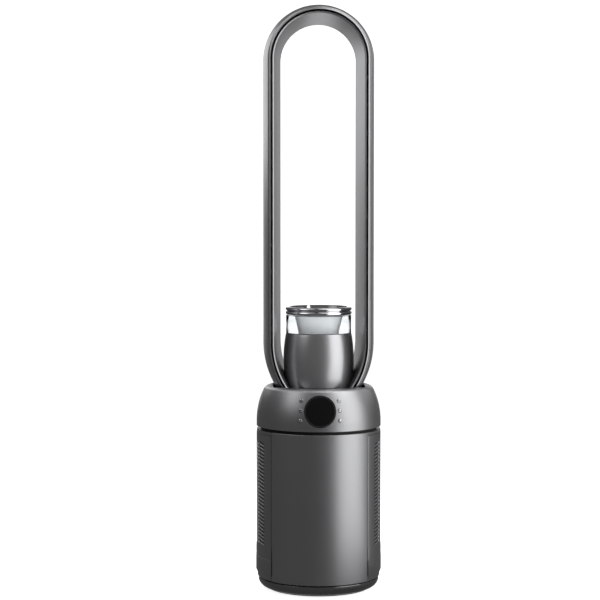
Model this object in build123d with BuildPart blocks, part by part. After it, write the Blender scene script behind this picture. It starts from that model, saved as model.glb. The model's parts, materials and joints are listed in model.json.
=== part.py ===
from build123d import *
import os
from math import acos, asin, cos, degrees, pi, radians, sin, sqrt, tan

# A bladeless tower fan with a mist tank between the legs of its air loop.
# Frame: origin on the floor under the middle of the foot, +Z up, the display looks along -Y,
# +X is the viewer's right. Sizes are in millimetres.

os.makedirs("parts", exist_ok=True)

# ---------------------------------------------------------------- driving dimensions
# heights of the stacked housings
pad_height = 1.5
foot_height = 20.0
swivel_gap = 2.0
shadow_gap = 5.5
head_height = 67.6
skirt_height = 35.5
cover_height = 206.4
top_collar_height = 4.6

# radii of the housings
foot_inset = 3.0
foot_floor_inset = 14.5
body_radius = 104.0
cover_proud = 0.4
sill_proud = 0.7
sill_height = 14.0
sill_slope = 10.0
skirt_proud = 1.4
skirt_bevel_width = 2.8
skirt_bevel_height = 6.5
skirt_foot_height = 4.5
skirt_lip = 0.6
head_proud = 0.4
shadow_depth = 7.0
shadow_ring_width = 7.0

# walls, seams and general clearances
wall = 2.5
thin_wall = 2.0
plate = 3.0
seam_half_width = 80.0
seam_gap = 0.25
travel_gap = 0.5
running_gap = 0.05
edge_round = 0.8

# air loop: half widths are measured from the middle plane, depth runs along Y
loop_half_width = 93.0
loop_depth = 96.0
loop_wall = 2.2
loop_lip_half_width = 83.5
loop_widest_depth = 12.0
loop_flank_steps = 3
loop_front_round = 3.0
loop_back_round = 13.0
liner_front_half_width = 75.0
liner_back_half_width = 63.3
slot_inner_half_width = 77.1
slot_width = 3.4
slot_depth = 6.0
loop_arc_height = 884.0
loop_bend_height = 415.0
loop_bend_radius = 135.0
loop_end_height = 331.0
spacer_count = 10
spacer_pitch = 46.0
spacer_first_height = 439.5
spacer_height = 2.0
spacer_setback = 1.5
gasket_height = 2.0
gasket_gap = 94.0

# head: side arc, shoulder, top opening
head_straight = 9.0
head_side_arc_height = 51.5
head_side_arc_radius = 119.6
shoulder_radius = 78.0
head_top_dip = 6.0
head_flat_radius = 26.0
opening_half_length = 76.5
opening_half_width = 51.5
opening_round = 16.0
opening_gap = 3.5
deck_setback = 13.4
deck_half_width = 80.5
plenum_setback = 22.4
plenum_cone_height = 28.0
display_radius = 26.3
display_height = 308.0
lens_proud = 0.4
bezel_inset = 2.4
bezel_width = 3.0
board_thickness = 1.6
display_board_setback = 15.0
key_radius = 3.2
key_offset = 32.6
key_heights = (293.0, 309.5, 325.0)
key_travel = 0.6
key_proud = 0.9
key_clearance = 0.3
key_flange_radius = 4.4
key_flange = 1.0
key_flange_setback = 2.75
key_board_setback = 16.9
key_board_width = 13.0
key_board_height = 39.0
key_board_centre = 309.0
boss_radius = 2.0

# swivel drive
gear_module = 1.5
gear_addendum = 0.85
gear_dedendum = 1.15
ring_teeth = 48
pinion_teeth = 12
gear_backlash = 0.3
gear_face = 6.0
ring_gear_bore = 26.0
spindle_radius = 16.0
spindle_bore = 12.0
spindle_flange_radius = 24.0
spindle_top = 36.0
turntable_setback = 8.5
turntable_hub_radius = 22.0
pinion_shaft_radius = 2.5
swivel_motor_radius = 17.5
swivel_motor_height = 14.0
weight_inner_radius = 60.0
weight_outer_radius = 74.0
weight_height = 8.0
glide_inset = 9.0
glide_width = 8.0

# fan: bucket, impeller, motor
bucket_radius = 60.0
bucket_bottom = 112.0
bucket_inlet_radius = 42.0
bucket_cone_height = 48.0
bucket_flange_radius = 70.0
isolator_height = 3.0
impeller_clearance = 1.0
impeller_bottom = 116.0
impeller_height = 34.0
impeller_hub_bottom_radius = 14.0
impeller_hub_top_radius = 38.0
impeller_blades = 9
blade_thickness = 1.6
blade_arc_radius = 42.0
pod_radius = 38.0
pod_height = 62.0
pod_gap = 2.0
pod_nose = 12.0
motor_radius = 27.0
motor_height = 46.0
motor_shaft_radius = 4.0
guide_vanes = 8
guide_vane_height = 34.0

# filters and side covers
filter_setback = 37.9
filter_half_width = 58.0
filter_frame_wall = 3.0
pleat_count = 14
pleat_depth = 15.0
pleat_thickness = 1.4
grille_top_margin = 11.5
grille_low_margin = 20.5
grille_side_angle = 10.5
grille_rows = 28
grille_columns = 4
grille_slot_height = 3.0
grille_slot_slant = 3.0
grille_bar = 3.4

# mist tank
tank_foot_radius = 54.0
tank_belly_radius = 58.8
tank_neck_radius = 54.8
tank_bottom = 337.0
tank_belly_rise = 37.0
window_bottom = 430.0
window_top = 460.5
window_radius = 54.8
rim_top = 474.0
rim_radius = 55.6
rim_bevel = 1.2
rim_groove = 1.5
rim_width = 6.0
rim_slope = 1.0
chimney_bottom_radius = 22.0
chimney_waist_radius = 34.0
chimney_flare_radius = 44.0
chimney_waist_rise = 4.0
chimney_setback = 1.0
chimney_wall = 1.8
tank_bay_clearance = 1.5
seat_outer_radius = 48.0
seat_inner_radius = 40.0
mist_disc_radius = 12.0

# screws, feet and the mains inlet
foot_pad_radius = 7.0
foot_pad_ring = 62.0
foot_pad_count = 6
foot_screw_ring = 48.0
foot_screw_count = 4
foot_screw_angle = 45.0
screw_radius = 2.0
screw_head_radius = 3.6
screw_head_height = 2.0
inlet_width = 22.0
inlet_height = 16.0
inlet_depth = 20.0
inlet_centre_height = 50.0
inlet_lip = 3.0
inlet_setback = 1.0
power_board_width = 90.0
power_board_height = 50.0

# ---------------------------------------------------------------- derived levels
dish_floor = pad_height + thin_wall
dish_floor_top = dish_floor + wall
dish_shoulder = foot_height - 5.0
shelf_level = foot_height - 4.0
turntable_level = foot_height
turntable_top = turntable_level + 4.0
chassis_floor_top = turntable_top + plate
body_bottom = foot_height + swivel_gap
skirt_top = body_bottom + skirt_height
skirt_bevel_top = body_bottom + skirt_foot_height + skirt_bevel_height
cover_bottom = skirt_top + 2 * seam_gap
cover_top = cover_bottom + cover_height
collar_bottom = cover_top + 2 * seam_gap
body_top = collar_bottom + top_collar_height
deck_bottom = collar_bottom
deck_top = body_top - thin_wall
flange_level = deck_top + isolator_height
plenum_bottom = flange_level + thin_wall
head_bottom = body_top + shadow_gap
head_top = head_bottom + head_height
deck_level = loop_end_height - gasket_height
deck_underside = deck_level - plate
panel_radius = body_radius
cover_radius = body_radius + cover_proud
skirt_radius = body_radius + skirt_proud
head_radius = body_radius + head_proud
shadow_radius = body_radius - shadow_depth
foot_radius = body_radius - foot_inset
foot_floor_radius = foot_radius - foot_floor_inset
glide_outer_radius = foot_radius - glide_inset
glide_inner_radius = glide_outer_radius - glide_width
turntable_radius = body_radius - turntable_setback
deck_radius = head_radius - deck_setback
plenum_radius = head_radius - plenum_setback
display_board_depth = head_radius - display_board_setback
key_board_radius = head_radius - key_board_setback
filter_plane = cover_radius - filter_setback
panel_inner = panel_radius - wall
cover_inner = cover_radius - wall
slot_middle = slot_inner_half_width + slot_width / 2
bend_centre = slot_middle - loop_bend_radius
loop_foot_half_width = bend_centre + sqrt(
    (loop_half_width - bend_centre) ** 2 - (loop_bend_height - loop_end_height) ** 2
)
tank_belly_height = tank_bottom + tank_belly_rise
bay_radius = tank_belly_radius + tank_bay_clearance
ring_pitch_radius = gear_module * ring_teeth / 2
pinion_pitch_radius = gear_module * pinion_teeth / 2
pinion_offset = ring_pitch_radius + pinion_pitch_radius
gear_bottom = dish_floor_top
head_arc_start = head_bottom + head_straight
head_arc_end = head_arc_start + head_side_arc_height
head_arc_centre = head_radius - head_side_arc_radius


def head_radius_at(height):
    """Outer radius of the head's side wall at a height."""
    rise = max(height - head_arc_start, 0.0)
    return head_arc_centre + sqrt(head_side_arc_radius**2 - rise**2)


# ---------------------------------------------------------------- shared helpers
def keep(piece, name):
    """Label a finished piece and write its STEP file."""
    piece.part.label = name
    export_step(piece.part, f"parts/{name}.step")


def turned(*points, mode=Mode.ADD):
    """Revolve a closed outline of (radius, height) points about the fan's own axis."""
    with BuildSketch(Plane.XZ) as outline:
        with BuildLine():
            Polyline(*points, close=True)
        make_face()
    revolve(outline.sketch, axis=Axis.Z, mode=mode)


def ring(inner, outer, low, high, mode=Mode.ADD):
    """A flat ring about the fan's own axis between two heights."""
    with BuildSketch(Plane.XY.offset(low)) as outline:
        Circle(outer)
        if inner > 0:
            Circle(inner, mode=Mode.SUBTRACT)
    extrude(outline.sketch, amount=high - low, mode=mode)


def block(size_x, size_y, size_z, centre, mode=Mode.ADD):
    """A box with its centre at a point."""
    with BuildSketch(Plane(origin=(centre[0], centre[1], centre[2] - size_z / 2))) as outline:
        Rectangle(size_x, size_y)
    extrude(outline.sketch, amount=size_z, mode=mode)


def keep_side_band(sign):
    """Keep only what lies outside the seam on one side."""
    span = 2 * skirt_radius
    middle = sign * (seam_half_width + seam_gap + span / 2)
    block(span, 2 * span, 4 * span, (middle, 0, body_bottom), mode=Mode.INTERSECT)


def keep_end_band(sign):
    """Keep only what lies between the seams, at the front (-1) or the back (+1)."""
    width = 2 * (seam_half_width - seam_gap)
    span = 2 * skirt_radius
    block(width, span, 4 * span, (0, sign * span / 2, body_bottom), mode=Mode.INTERSECT)


def gear_points(teeth, shift, backlash):
    """Corner points of a spur gear whose flanks are chords of involutes."""
    pressure = radians(20)
    pitch = gear_module * teeth / 2
    base = pitch * cos(pressure)
    tip = pitch + gear_addendum * gear_module
    root = pitch - gear_dedendum * gear_module
    involute = tan(pressure) - pressure
    half = pi / (2 * teeth) - backlash / (2 * pitch) + involute

    def half_angle(radius):
        local = acos(min(base / radius, 1.0))
        return half - (tan(local) - local)

    points = []
    for tooth in range(teeth):
        middle = shift + 2 * pi * tooth / teeth
        wide = half_angle(max(root, base))
        narrow = half_angle(tip)
        for radius, angle in ((root, -wide), (tip, -narrow), (tip, narrow), (root, wide)):
            points.append((radius * cos(middle + angle), radius * sin(middle + angle)))
    return points


# ---------------------------------------------------------------- foot
# The dark dish that carries everything: floor, bowl, shelf for the glide ring and rim
with BuildPart() as foot_dish:
    with BuildSketch(Plane.XZ):
        with BuildLine():
            TangentArc(
                (foot_floor_radius, dish_floor), (foot_radius, dish_shoulder), tangent=(1, 0)
            )
            Polyline(
                (foot_radius, dish_shoulder),
                (foot_radius, foot_height),
                (glide_outer_radius + 2 * wall, foot_height),
                (glide_outer_radius + 2 * wall, shelf_level),
                (glide_inner_radius - wall, shelf_level),
                (glide_inner_radius - wall, shelf_level - wall),
                (glide_outer_radius, shelf_level - wall),
                (foot_floor_radius, dish_floor_top),
                (spindle_bore, dish_floor_top),
                (spindle_bore, dish_floor),
                (foot_floor_radius, dish_floor),
            )
        make_face()
    revolve(axis=Axis.Z)
    with Locations((0, 0, dish_floor)):
        with PolarLocations(foot_screw_ring, foot_screw_count, start_angle=foot_screw_angle):
            Cylinder(
                screw_radius,
                wall,
                align=(Align.CENTER, Align.CENTER, Align.MIN),
                mode=Mode.SUBTRACT,
            )
keep(foot_dish, "foot_dish")

# Bottom cover with the holes that take the rubber pads' stems and the screws' heads
with BuildPart() as foot_plate:
    ring(0, foot_floor_radius - travel_gap, pad_height, dish_floor)
    with Locations((0, 0, pad_height)):
        with PolarLocations(foot_pad_ring, foot_pad_count):
            Cylinder(
                foot_pad_radius / 2,
                thin_wall,
                align=(Align.CENTER, Align.CENTER, Align.MIN),
                mode=Mode.SUBTRACT,
            )
    with Locations((0, 0, pad_height)):
        with PolarLocations(foot_screw_ring, foot_screw_count, start_angle=foot_screw_angle):
            Cylinder(
                screw_head_radius,
                thin_wall,
                align=(Align.CENTER, Align.CENTER, Align.MIN),
                mode=Mode.SUBTRACT,
            )
keep(foot_plate, "foot_plate")

# Screws that hold the bottom cover to the dish, heads sunk in the cover
with BuildPart() as foot_screws:
    with Locations((0, 0, dish_floor - screw_head_height + travel_gap)):
        with PolarLocations(foot_screw_ring, foot_screw_count, start_angle=foot_screw_angle):
            Cylinder(
                screw_head_radius,
                screw_head_height - travel_gap,
                align=(Align.CENTER, Align.CENTER, Align.MIN),
            )
    with Locations((0, 0, dish_floor)):
        with PolarLocations(foot_screw_ring, foot_screw_count, start_angle=foot_screw_angle):
            Cylinder(screw_radius, wall, align=(Align.CENTER, Align.CENTER, Align.MIN))
keep(foot_screws, "foot_screws")

# Rubber pads: a disc on the floor and a stem pressed up through the bottom cover
with BuildPart() as foot_pads:
    with PolarLocations(foot_pad_ring, foot_pad_count):
        Cylinder(foot_pad_radius, pad_height, align=(Align.CENTER, Align.CENTER, Align.MIN))
    with Locations((0, 0, pad_height)):
        with PolarLocations(foot_pad_ring, foot_pad_count):
            Cylinder(
                foot_pad_radius / 2, thin_wall, align=(Align.CENTER, Align.CENTER, Align.MIN)
            )
keep(foot_pads, "foot_pads")

# Cast ring that keeps the tall fan from tipping
with BuildPart() as foot_weight:
    ring(weight_inner_radius, weight_outer_radius, dish_floor_top, dish_floor_top + weight_height)
    chamfer(foot_weight.edges().group_by(Axis.Z)[-1], edge_round)
keep(foot_weight, "foot_weight")

# Low-friction ring under the turntable
with BuildPart() as glide_ring:
    ring(glide_inner_radius, glide_outer_radius, shelf_level, turntable_level - 4 * running_gap)
keep(glide_ring, "glide_ring")

# Fixed gear that the swivel motor walks around
with BuildPart() as swivel_gear:
    with BuildSketch(Plane.XY.offset(gear_bottom)):
        with BuildLine():
            Polyline(*gear_points(ring_teeth, 0.0, gear_backlash), close=True)
        make_face()
        Circle(ring_gear_bore, mode=Mode.SUBTRACT)
    extrude(amount=gear_face)
keep(swivel_gear, "swivel_gear")

# Hollow spindle with a flange: the swivel axis and the way up for the wiring
with BuildPart() as pivot_spindle:
    turned(
        (spindle_bore, dish_floor_top),
        (spindle_flange_radius, dish_floor_top),
        (spindle_flange_radius, dish_floor_top + plate),
        (spindle_radius, dish_floor_top + plate),
        (spindle_radius, spindle_top),
        (spindle_bore, spindle_top),
    )
keep(pivot_spindle, "pivot_spindle")

# Ring clipped on the spindle that holds the turntable down
with BuildPart() as spindle_clip:
    ring(spindle_radius, turntable_hub_radius - 1.0, spindle_top - plate, spindle_top - 1.0)
keep(spindle_clip, "spindle_clip")

# ---------------------------------------------------------------- turntable and swivel drive
hub_bottom = dish_floor_top + plate + travel_gap
hub_top = spindle_top - plate - travel_gap
with BuildPart() as turntable:
    ring(0, turntable_radius, turntable_level, turntable_top)
    ring(0, turntable_hub_radius, hub_bottom, hub_top)
    ring(0, spindle_radius + running_gap, hub_bottom, hub_top, mode=Mode.SUBTRACT)
    with Locations((pinion_offset, 0, turntable_level)):
        Cylinder(
            2 * pinion_shaft_radius,
            turntable_top - turntable_level,
            align=(Align.CENTER, Align.CENTER, Align.MIN),
            mode=Mode.SUBTRACT,
        )
keep(turntable, "turntable")

# Flat geared motor; its shaft points down through the turntable
motor_bore_depth = swivel_motor_height - plate
with BuildPart() as swivel_motor:
    with Locations((pinion_offset, 0, turntable_top)):
        Cylinder(
            swivel_motor_radius,
            swivel_motor_height,
            align=(Align.CENTER, Align.CENTER, Align.MIN),
        )
    chamfer(swivel_motor.edges().group_by(Axis.Z)[-1], edge_round)
    with Locations((pinion_offset, 0, turntable_top)):
        Cylinder(
            pinion_shaft_radius + running_gap,
            motor_bore_depth,
            align=(Align.CENTER, Align.CENTER, Align.MIN),
            mode=Mode.SUBTRACT,
        )
keep(swivel_motor, "swivel_motor")

# Pinion with its shaft, in mesh with the fixed gear
with BuildPart() as swivel_pinion:
    with BuildSketch(Plane((pinion_offset, 0, gear_bottom + travel_gap))):
        with BuildLine():
            Polyline(*gear_points(pinion_teeth, pi / pinion_teeth, gear_backlash), close=True)
        make_face()
    extrude(amount=gear_face - travel_gap)
    with Locations((pinion_offset, 0, gear_bottom + travel_gap)):
        Cylinder(
            pinion_shaft_radius,
            turntable_top + motor_bore_depth - 2 * travel_gap - gear_bottom,
            align=(Align.CENTER, Align.CENTER, Align.MIN),
        )
keep(swivel_pinion, "swivel_pinion")

# ---------------------------------------------------------------- chassis
side_wall_outer = filter_plane - travel_gap
side_wall_inner = side_wall_outer - thin_wall
side_wall_half = sqrt(panel_inner**2 - side_wall_outer**2) - wall
window_rows = 4
window_height = 44.0
window_width = 46.0
with BuildPart() as chassis:
    # round floor with a segment at each end that reaches its panel
    with BuildSketch(Plane.XY.offset(turntable_top)):
        Circle(panel_inner)
        Rectangle(2 * (seam_half_width - seam_gap), 2 * panel_radius, mode=Mode.INTERSECT)
        Circle(panel_inner - thin_wall)
    extrude(amount=plate)
    ring(0, turntable_hub_radius + plate, turntable_top, chassis_floor_top, mode=Mode.SUBTRACT)
    with Locations((pinion_offset, 0, turntable_top)):
        Cylinder(
            swivel_motor_radius + 1.0,
            plate,
            align=(Align.CENTER, Align.CENTER, Align.MIN),
            mode=Mode.SUBTRACT,
        )
    ring(bucket_radius + 1.0, shadow_radius, deck_bottom, deck_top)
    for side in (-1, 1):
        block(
            thin_wall,
            2 * side_wall_half,
            deck_bottom - chassis_floor_top,
            (side * (side_wall_outer - thin_wall / 2), 0, (deck_bottom + chassis_floor_top) / 2),
        )
    pitch = (deck_bottom - chassis_floor_top) / window_rows
    for row in range(window_rows):
        for column in (-0.5, 0.5):
            block(
                2 * panel_radius,
                window_width,
                window_height,
                (0, column * (window_width + 2 * plate), chassis_floor_top + (row + 0.5) * pitch),
                mode=Mode.SUBTRACT,
            )
keep(chassis, "chassis")

# ---------------------------------------------------------------- outer panels of the body


def body_panel(sign):
    """One full-height curved panel between the seams, with softened ends."""
    with BuildPart() as panel:
        ring(panel_inner, panel_radius, body_bottom, body_top)
        keep_end_band(sign)
        ends = panel.faces().filter_by(GeomType.CYLINDER).sort_by(SortBy.AREA)[-1].edges()
        fillet(ends.filter_by(GeomType.CIRCLE), edge_round)
    return panel


front_panel = body_panel(-1)
keep(front_panel, "front_panel")

rear_panel = body_panel(1)
with rear_panel:
    block(
        inlet_width,
        4 * wall,
        inlet_height,
        (0, panel_radius - wall, inlet_centre_height),
        mode=Mode.SUBTRACT,
    )
keep(rear_panel, "rear_panel")


def side_skirt(sign):
    """Lower band under a side cover: bevelled foot, shell wall and a shelf for the cover."""
    with BuildPart() as skirt:
        turned(
            (panel_inner - thin_wall, body_bottom),
            (skirt_radius - skirt_bevel_width, body_bottom),
            (skirt_radius - skirt_bevel_width, body_bottom + skirt_foot_height),
            (skirt_radius, skirt_bevel_top),
            (skirt_radius, skirt_top - skirt_lip),
            (skirt_radius - skirt_lip, skirt_top),
            (panel_inner - plate, skirt_top),
            (panel_inner - plate, skirt_top - wall),
            (skirt_radius - wall, skirt_top - wall),
            (skirt_radius - wall, skirt_bevel_top),
            (panel_inner - thin_wall, chassis_floor_top),
        )
        keep_side_band(sign)
    return skirt


left_skirt = side_skirt(-1)
keep(left_skirt, "left_skirt")
right_skirt = side_skirt(1)
keep(right_skirt, "right_skirt")

# Collar that closes the body above the side covers and ties the panels together
with BuildPart() as top_collar:
    ring(panel_inner, panel_radius, collar_bottom, body_top)
    block(
        2 * (seam_half_width + seam_gap),
        4 * panel_radius,
        4 * panel_radius,
        (0, 0, body_top),
        mode=Mode.SUBTRACT,
    )
    ring(shadow_radius, panel_inner, collar_bottom, body_top)
keep(top_collar, "top_collar")

# Recessed black ring seen in the gap under the head
shadow_inner = shadow_radius - shadow_ring_width
with BuildPart() as shadow_ring:
    ring(shadow_inner, shadow_radius, deck_top, head_bottom + 2 * wall)
keep(shadow_ring, "shadow_ring")

# ---------------------------------------------------------------- side covers and filters
grille_low = cover_bottom + grille_low_margin
grille_high = cover_top - grille_top_margin
sill_top = cover_bottom + sill_height
grille_pitch = (grille_high - grille_low - grille_slot_slant) / grille_rows
seam_angle = degrees(asin(seam_half_width / cover_radius))
column_angle = (180 - 2 * (seam_angle + grille_side_angle)) / grille_columns
slot_half_length = (radians(column_angle) * cover_radius - grille_bar) / 2


def side_cover(sign):
    """Removable grille: a curved shell with columns of slots that slant down to the front."""
    back_end = sign * slot_half_length
    rise = grille_slot_slant / 2
    half_height = grille_slot_height / 2
    with BuildPart() as cover:
        turned(
            (cover_inner, cover_bottom),
            (cover_radius + sill_proud, cover_bottom),
            (cover_radius + sill_proud, sill_top),
            (cover_radius, sill_top + sill_slope),
            (cover_radius, cover_top),
            (cover_inner, cover_top),
        )
        keep_side_band(sign)
        for column in range(grille_columns):
            angle = (column - (grille_columns - 1) / 2) * column_angle
            turn = angle if sign > 0 else 180 - angle
            with BuildSketch(Plane.YZ.rotated((0, 0, turn))):
                with Locations((0, (grille_low + grille_high) / 2)):
                    with GridLocations(1, grille_pitch, 1, grille_rows):
                        Polygon(
                            (-back_end, -rise - half_height),
                            (back_end, rise - half_height),
                            (back_end, rise + half_height),
                            (-back_end, -rise + half_height),
                            align=None,
                        )
            extrude(amount=2 * cover_radius, mode=Mode.SUBTRACT)
    return cover


left_cover = side_cover(-1)
keep(left_cover, "left_cover")
right_cover = side_cover(1)
keep(right_cover, "right_cover")

filter_low = cover_bottom + 2 * travel_gap
filter_high = cover_top - 2 * travel_gap


def filter_outline(sign, inset):
    """Segment-shaped outline of a filter cartridge, drawn in by an inset."""
    with BuildSketch(Plane.XY.offset(filter_low)) as outline:
        Circle(cover_inner - inset)
        inner = filter_plane + inset
        with Locations((sign * (inner + cover_radius), 0)):
            Rectangle(
                2 * cover_radius, 2 * (filter_half_width - inset), mode=Mode.INTERSECT
            )
    return outline.sketch


def filter_frame(sign):
    """Open cartridge: end plates and two uprights, clipped inside the cover."""
    with BuildPart() as frame:
        extrude(filter_outline(sign, 0.0), amount=filter_high - filter_low)
        depth = pleat_depth + 2 * filter_frame_wall
        block(
            2 * cover_radius,
            2 * (filter_half_width - filter_frame_wall),
            filter_high - filter_low - 2 * filter_frame_wall,
            (sign * (filter_plane + cover_radius), 0, (filter_low + filter_high) / 2),
            mode=Mode.SUBTRACT,
        )
        block(
            2 * cover_radius,
            4 * filter_half_width,
            filter_high - filter_low - 2 * filter_frame_wall,
            (sign * (filter_plane + depth + cover_radius), 0, (filter_low + filter_high) / 2),
            mode=Mode.SUBTRACT,
        )
    return frame


left_filter_frame = filter_frame(-1)
keep(left_filter_frame, "left_filter_frame")
right_filter_frame = filter_frame(1)
keep(right_filter_frame, "right_filter_frame")


def filter_pack(sign):
    """Pleated filter paper, a zigzag sheet standing between the uprights."""
    half = filter_half_width - filter_frame_wall
    pitch = 2 * half / pleat_count
    near = filter_plane + filter_frame_wall
    far = near + pleat_depth
    front = []
    for fold in range(2 * pleat_count + 1):
        front.append((near if fold % 2 == 0 else far, -half + fold * pitch / 2))
    back = [(x + 2 * pleat_thickness, y) for x, y in reversed(front)]
    outline = [(sign * x, y) for x, y in front + back]
    with BuildPart() as pack:
        with BuildSketch(Plane.XY.offset(filter_low + filter_frame_wall)):
            with BuildLine():
                Polyline(*outline, close=True)
            make_face()
        extrude(amount=filter_high - filter_low - 2 * filter_frame_wall)
    return pack


left_filter_pack = filter_pack(-1)
keep(left_filter_pack, "left_filter_pack")
right_filter_pack = filter_pack(1)
keep(right_filter_pack, "right_filter_pack")

# ---------------------------------------------------------------- fan unit
bucket_inner = bucket_radius - thin_wall
bucket_cone_top = bucket_bottom + bucket_cone_height
with BuildPart() as fan_bucket:
    turned(
        (bucket_inlet_radius, bucket_bottom),
        (bucket_inlet_radius + thin_wall, bucket_bottom),
        (bucket_radius, bucket_cone_top),
        (bucket_radius, flange_level),
        (bucket_flange_radius, flange_level),
        (bucket_flange_radius, plenum_bottom),
        (bucket_inner, plenum_bottom),
        (bucket_inner, bucket_cone_top),
    )
keep(fan_bucket, "fan_bucket")

with BuildPart() as isolator_ring:
    ring(bucket_radius, bucket_flange_radius, deck_top, flange_level)
keep(isolator_ring, "isolator_ring")


def arc_strip(inner, outer, bow_radius, thickness, plane):
    """Outline of one curved blade seen from above, from an inner to an outer radius."""
    with BuildSketch(plane) as outline:
        with BuildLine():
            outside = RadiusArc((inner, 0), (outer, outer / 2), bow_radius)
            start = outside @ 0
            end = outside @ 1
            inside = RadiusArc((start.X, -thickness), (end.X, end.Y - thickness), bow_radius)
            Line(start, inside @ 0)
            Line(end, inside @ 1)
        make_face()
    return outline.sketch


# Mixed-flow wheel: a conical hub and curved blades trimmed to the bucket's cone
cone_slope = (bucket_inner - bucket_inlet_radius) / bucket_cone_height
impeller_top = impeller_bottom + impeller_height


def blade_tip_radius(height):
    """Radius of the blade tips at a height, one clearance inside the bucket's cone."""
    return bucket_inlet_radius + (height - bucket_bottom) * cone_slope - impeller_clearance


with BuildPart() as impeller:
    blade = arc_strip(
        impeller_hub_bottom_radius / 2,
        bucket_inner,
        blade_arc_radius,
        blade_thickness,
        Plane.XY.offset(impeller_bottom),
    )
    for number in range(impeller_blades):
        turn = 360 * number / impeller_blades
        extrude(blade.rotate(Axis.Z, turn), amount=impeller_height)
    turned(
        (0, impeller_bottom),
        (blade_tip_radius(impeller_bottom), impeller_bottom),
        (blade_tip_radius(impeller_top), impeller_top),
        (0, impeller_top),
        mode=Mode.INTERSECT,
    )
    turned(
        (0, impeller_bottom),
        (impeller_hub_bottom_radius, impeller_bottom),
        (impeller_hub_top_radius, impeller_top),
        (0, impeller_top),
    )
    ring(0, motor_shaft_radius, impeller_bottom, impeller_top, mode=Mode.SUBTRACT)
keep(impeller, "impeller")

# Motor pod: a closed nacelle hung in the bucket by guide vanes
pod_bottom = impeller_top + pod_gap
pod_top = pod_bottom + pod_height
motor_bottom = pod_bottom + plate + 2 * travel_gap
with BuildPart() as motor_pod:
    ring(0, pod_radius, pod_bottom, pod_top)
    chamfer(motor_pod.edges().group_by(Axis.Z)[-1], pod_nose)
    ring(0, motor_radius, motor_bottom, motor_bottom + motor_height, mode=Mode.SUBTRACT)
    ring(0, motor_shaft_radius + 1.0, pod_bottom, motor_bottom, mode=Mode.SUBTRACT)
keep(motor_pod, "motor_pod")

vane_top = bucket_cone_top + guide_vane_height
with BuildPart() as guide_vane_ring:
    vane = arc_strip(
        pod_radius / 2, bucket_radius, bucket_radius, thin_wall, Plane.XY.offset(bucket_cone_top)
    )
    for number in range(guide_vanes):
        turn = 360 * number / guide_vanes
        extrude(vane.rotate(Axis.Z, turn), amount=guide_vane_height)
    ring(pod_radius, bucket_inner, bucket_cone_top, vane_top, mode=Mode.INTERSECT)
    ring(pod_radius, pod_radius + thin_wall, bucket_cone_top, vane_top)
keep(guide_vane_ring, "guide_vane_ring")

with BuildPart() as fan_motor:
    ring(0, motor_radius, motor_bottom, motor_bottom + motor_height)
    chamfer(fan_motor.edges().filter_by(GeomType.CIRCLE), edge_round)
    ring(
        0,
        motor_shaft_radius + running_gap,
        motor_bottom,
        motor_bottom + motor_height - plate,
        mode=Mode.SUBTRACT,
    )
keep(fan_motor, "fan_motor")

with BuildPart() as motor_shaft:
    ring(0, motor_shaft_radius, impeller_bottom, motor_bottom + motor_height - 2 * plate)
keep(motor_shaft, "motor_shaft")

with BuildPart() as impeller_nut:
    with BuildSketch(Plane.XY.offset(impeller_bottom - 2 * plate)):
        RegularPolygon(1.9 * motor_shaft_radius, 6)
    extrude(amount=2 * plate)
keep(impeller_nut, "impeller_nut")

# ---------------------------------------------------------------- head
with BuildPart() as plenum:
    turned(
        (bucket_inner, plenum_bottom),
        (shadow_inner, plenum_bottom),
        (shadow_inner, plenum_bottom + wall),
        (bucket_radius + wall, plenum_bottom + wall),
        (plenum_radius, plenum_bottom + plenum_cone_height),
        (plenum_radius, deck_underside),
        (plenum_radius - thin_wall, deck_underside),
        (plenum_radius - thin_wall, plenum_bottom + plenum_cone_height + 1.0),
        (bucket_inner, plenum_bottom + wall),
    )
keep(plenum, "plenum")


def head_outline(inset):
    """Half of the head's upright outline, moved inwards by an inset, ready to revolve."""
    arc_radius = head_side_arc_radius - inset
    lean = asin(head_side_arc_height / head_side_arc_radius)
    floor = head_bottom + inset
    ceiling = head_top - inset
    with BuildSketch(Plane.XZ) as outline:
        with BuildLine():
            side = Line((head_radius - inset, floor), (head_radius - inset, head_arc_start))
            flank = CenterArc(
                (head_arc_centre, head_arc_start), arc_radius, 0, degrees(lean)
            )
            crown = TangentArc(flank @ 1, (shoulder_radius, ceiling), tangent=flank % 1)
            Polyline(
                crown @ 1,
                (head_flat_radius, ceiling - head_top_dip),
                (0, ceiling - head_top_dip),
                (0, floor),
                side @ 0,
            )
        make_face()
    return outline.sketch


def key_plane(side, height, radius):
    """Plane across a key's axis at a radius, looking outwards from the fan's axis."""
    azimuth = asin(key_offset / head_radius)
    outward = Vector(side * sin(azimuth), -cos(azimuth), 0)
    return Plane(
        origin=outward * radius + Vector(0, 0, height), x_dir=(0, 0, 1), z_dir=outward
    )


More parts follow.
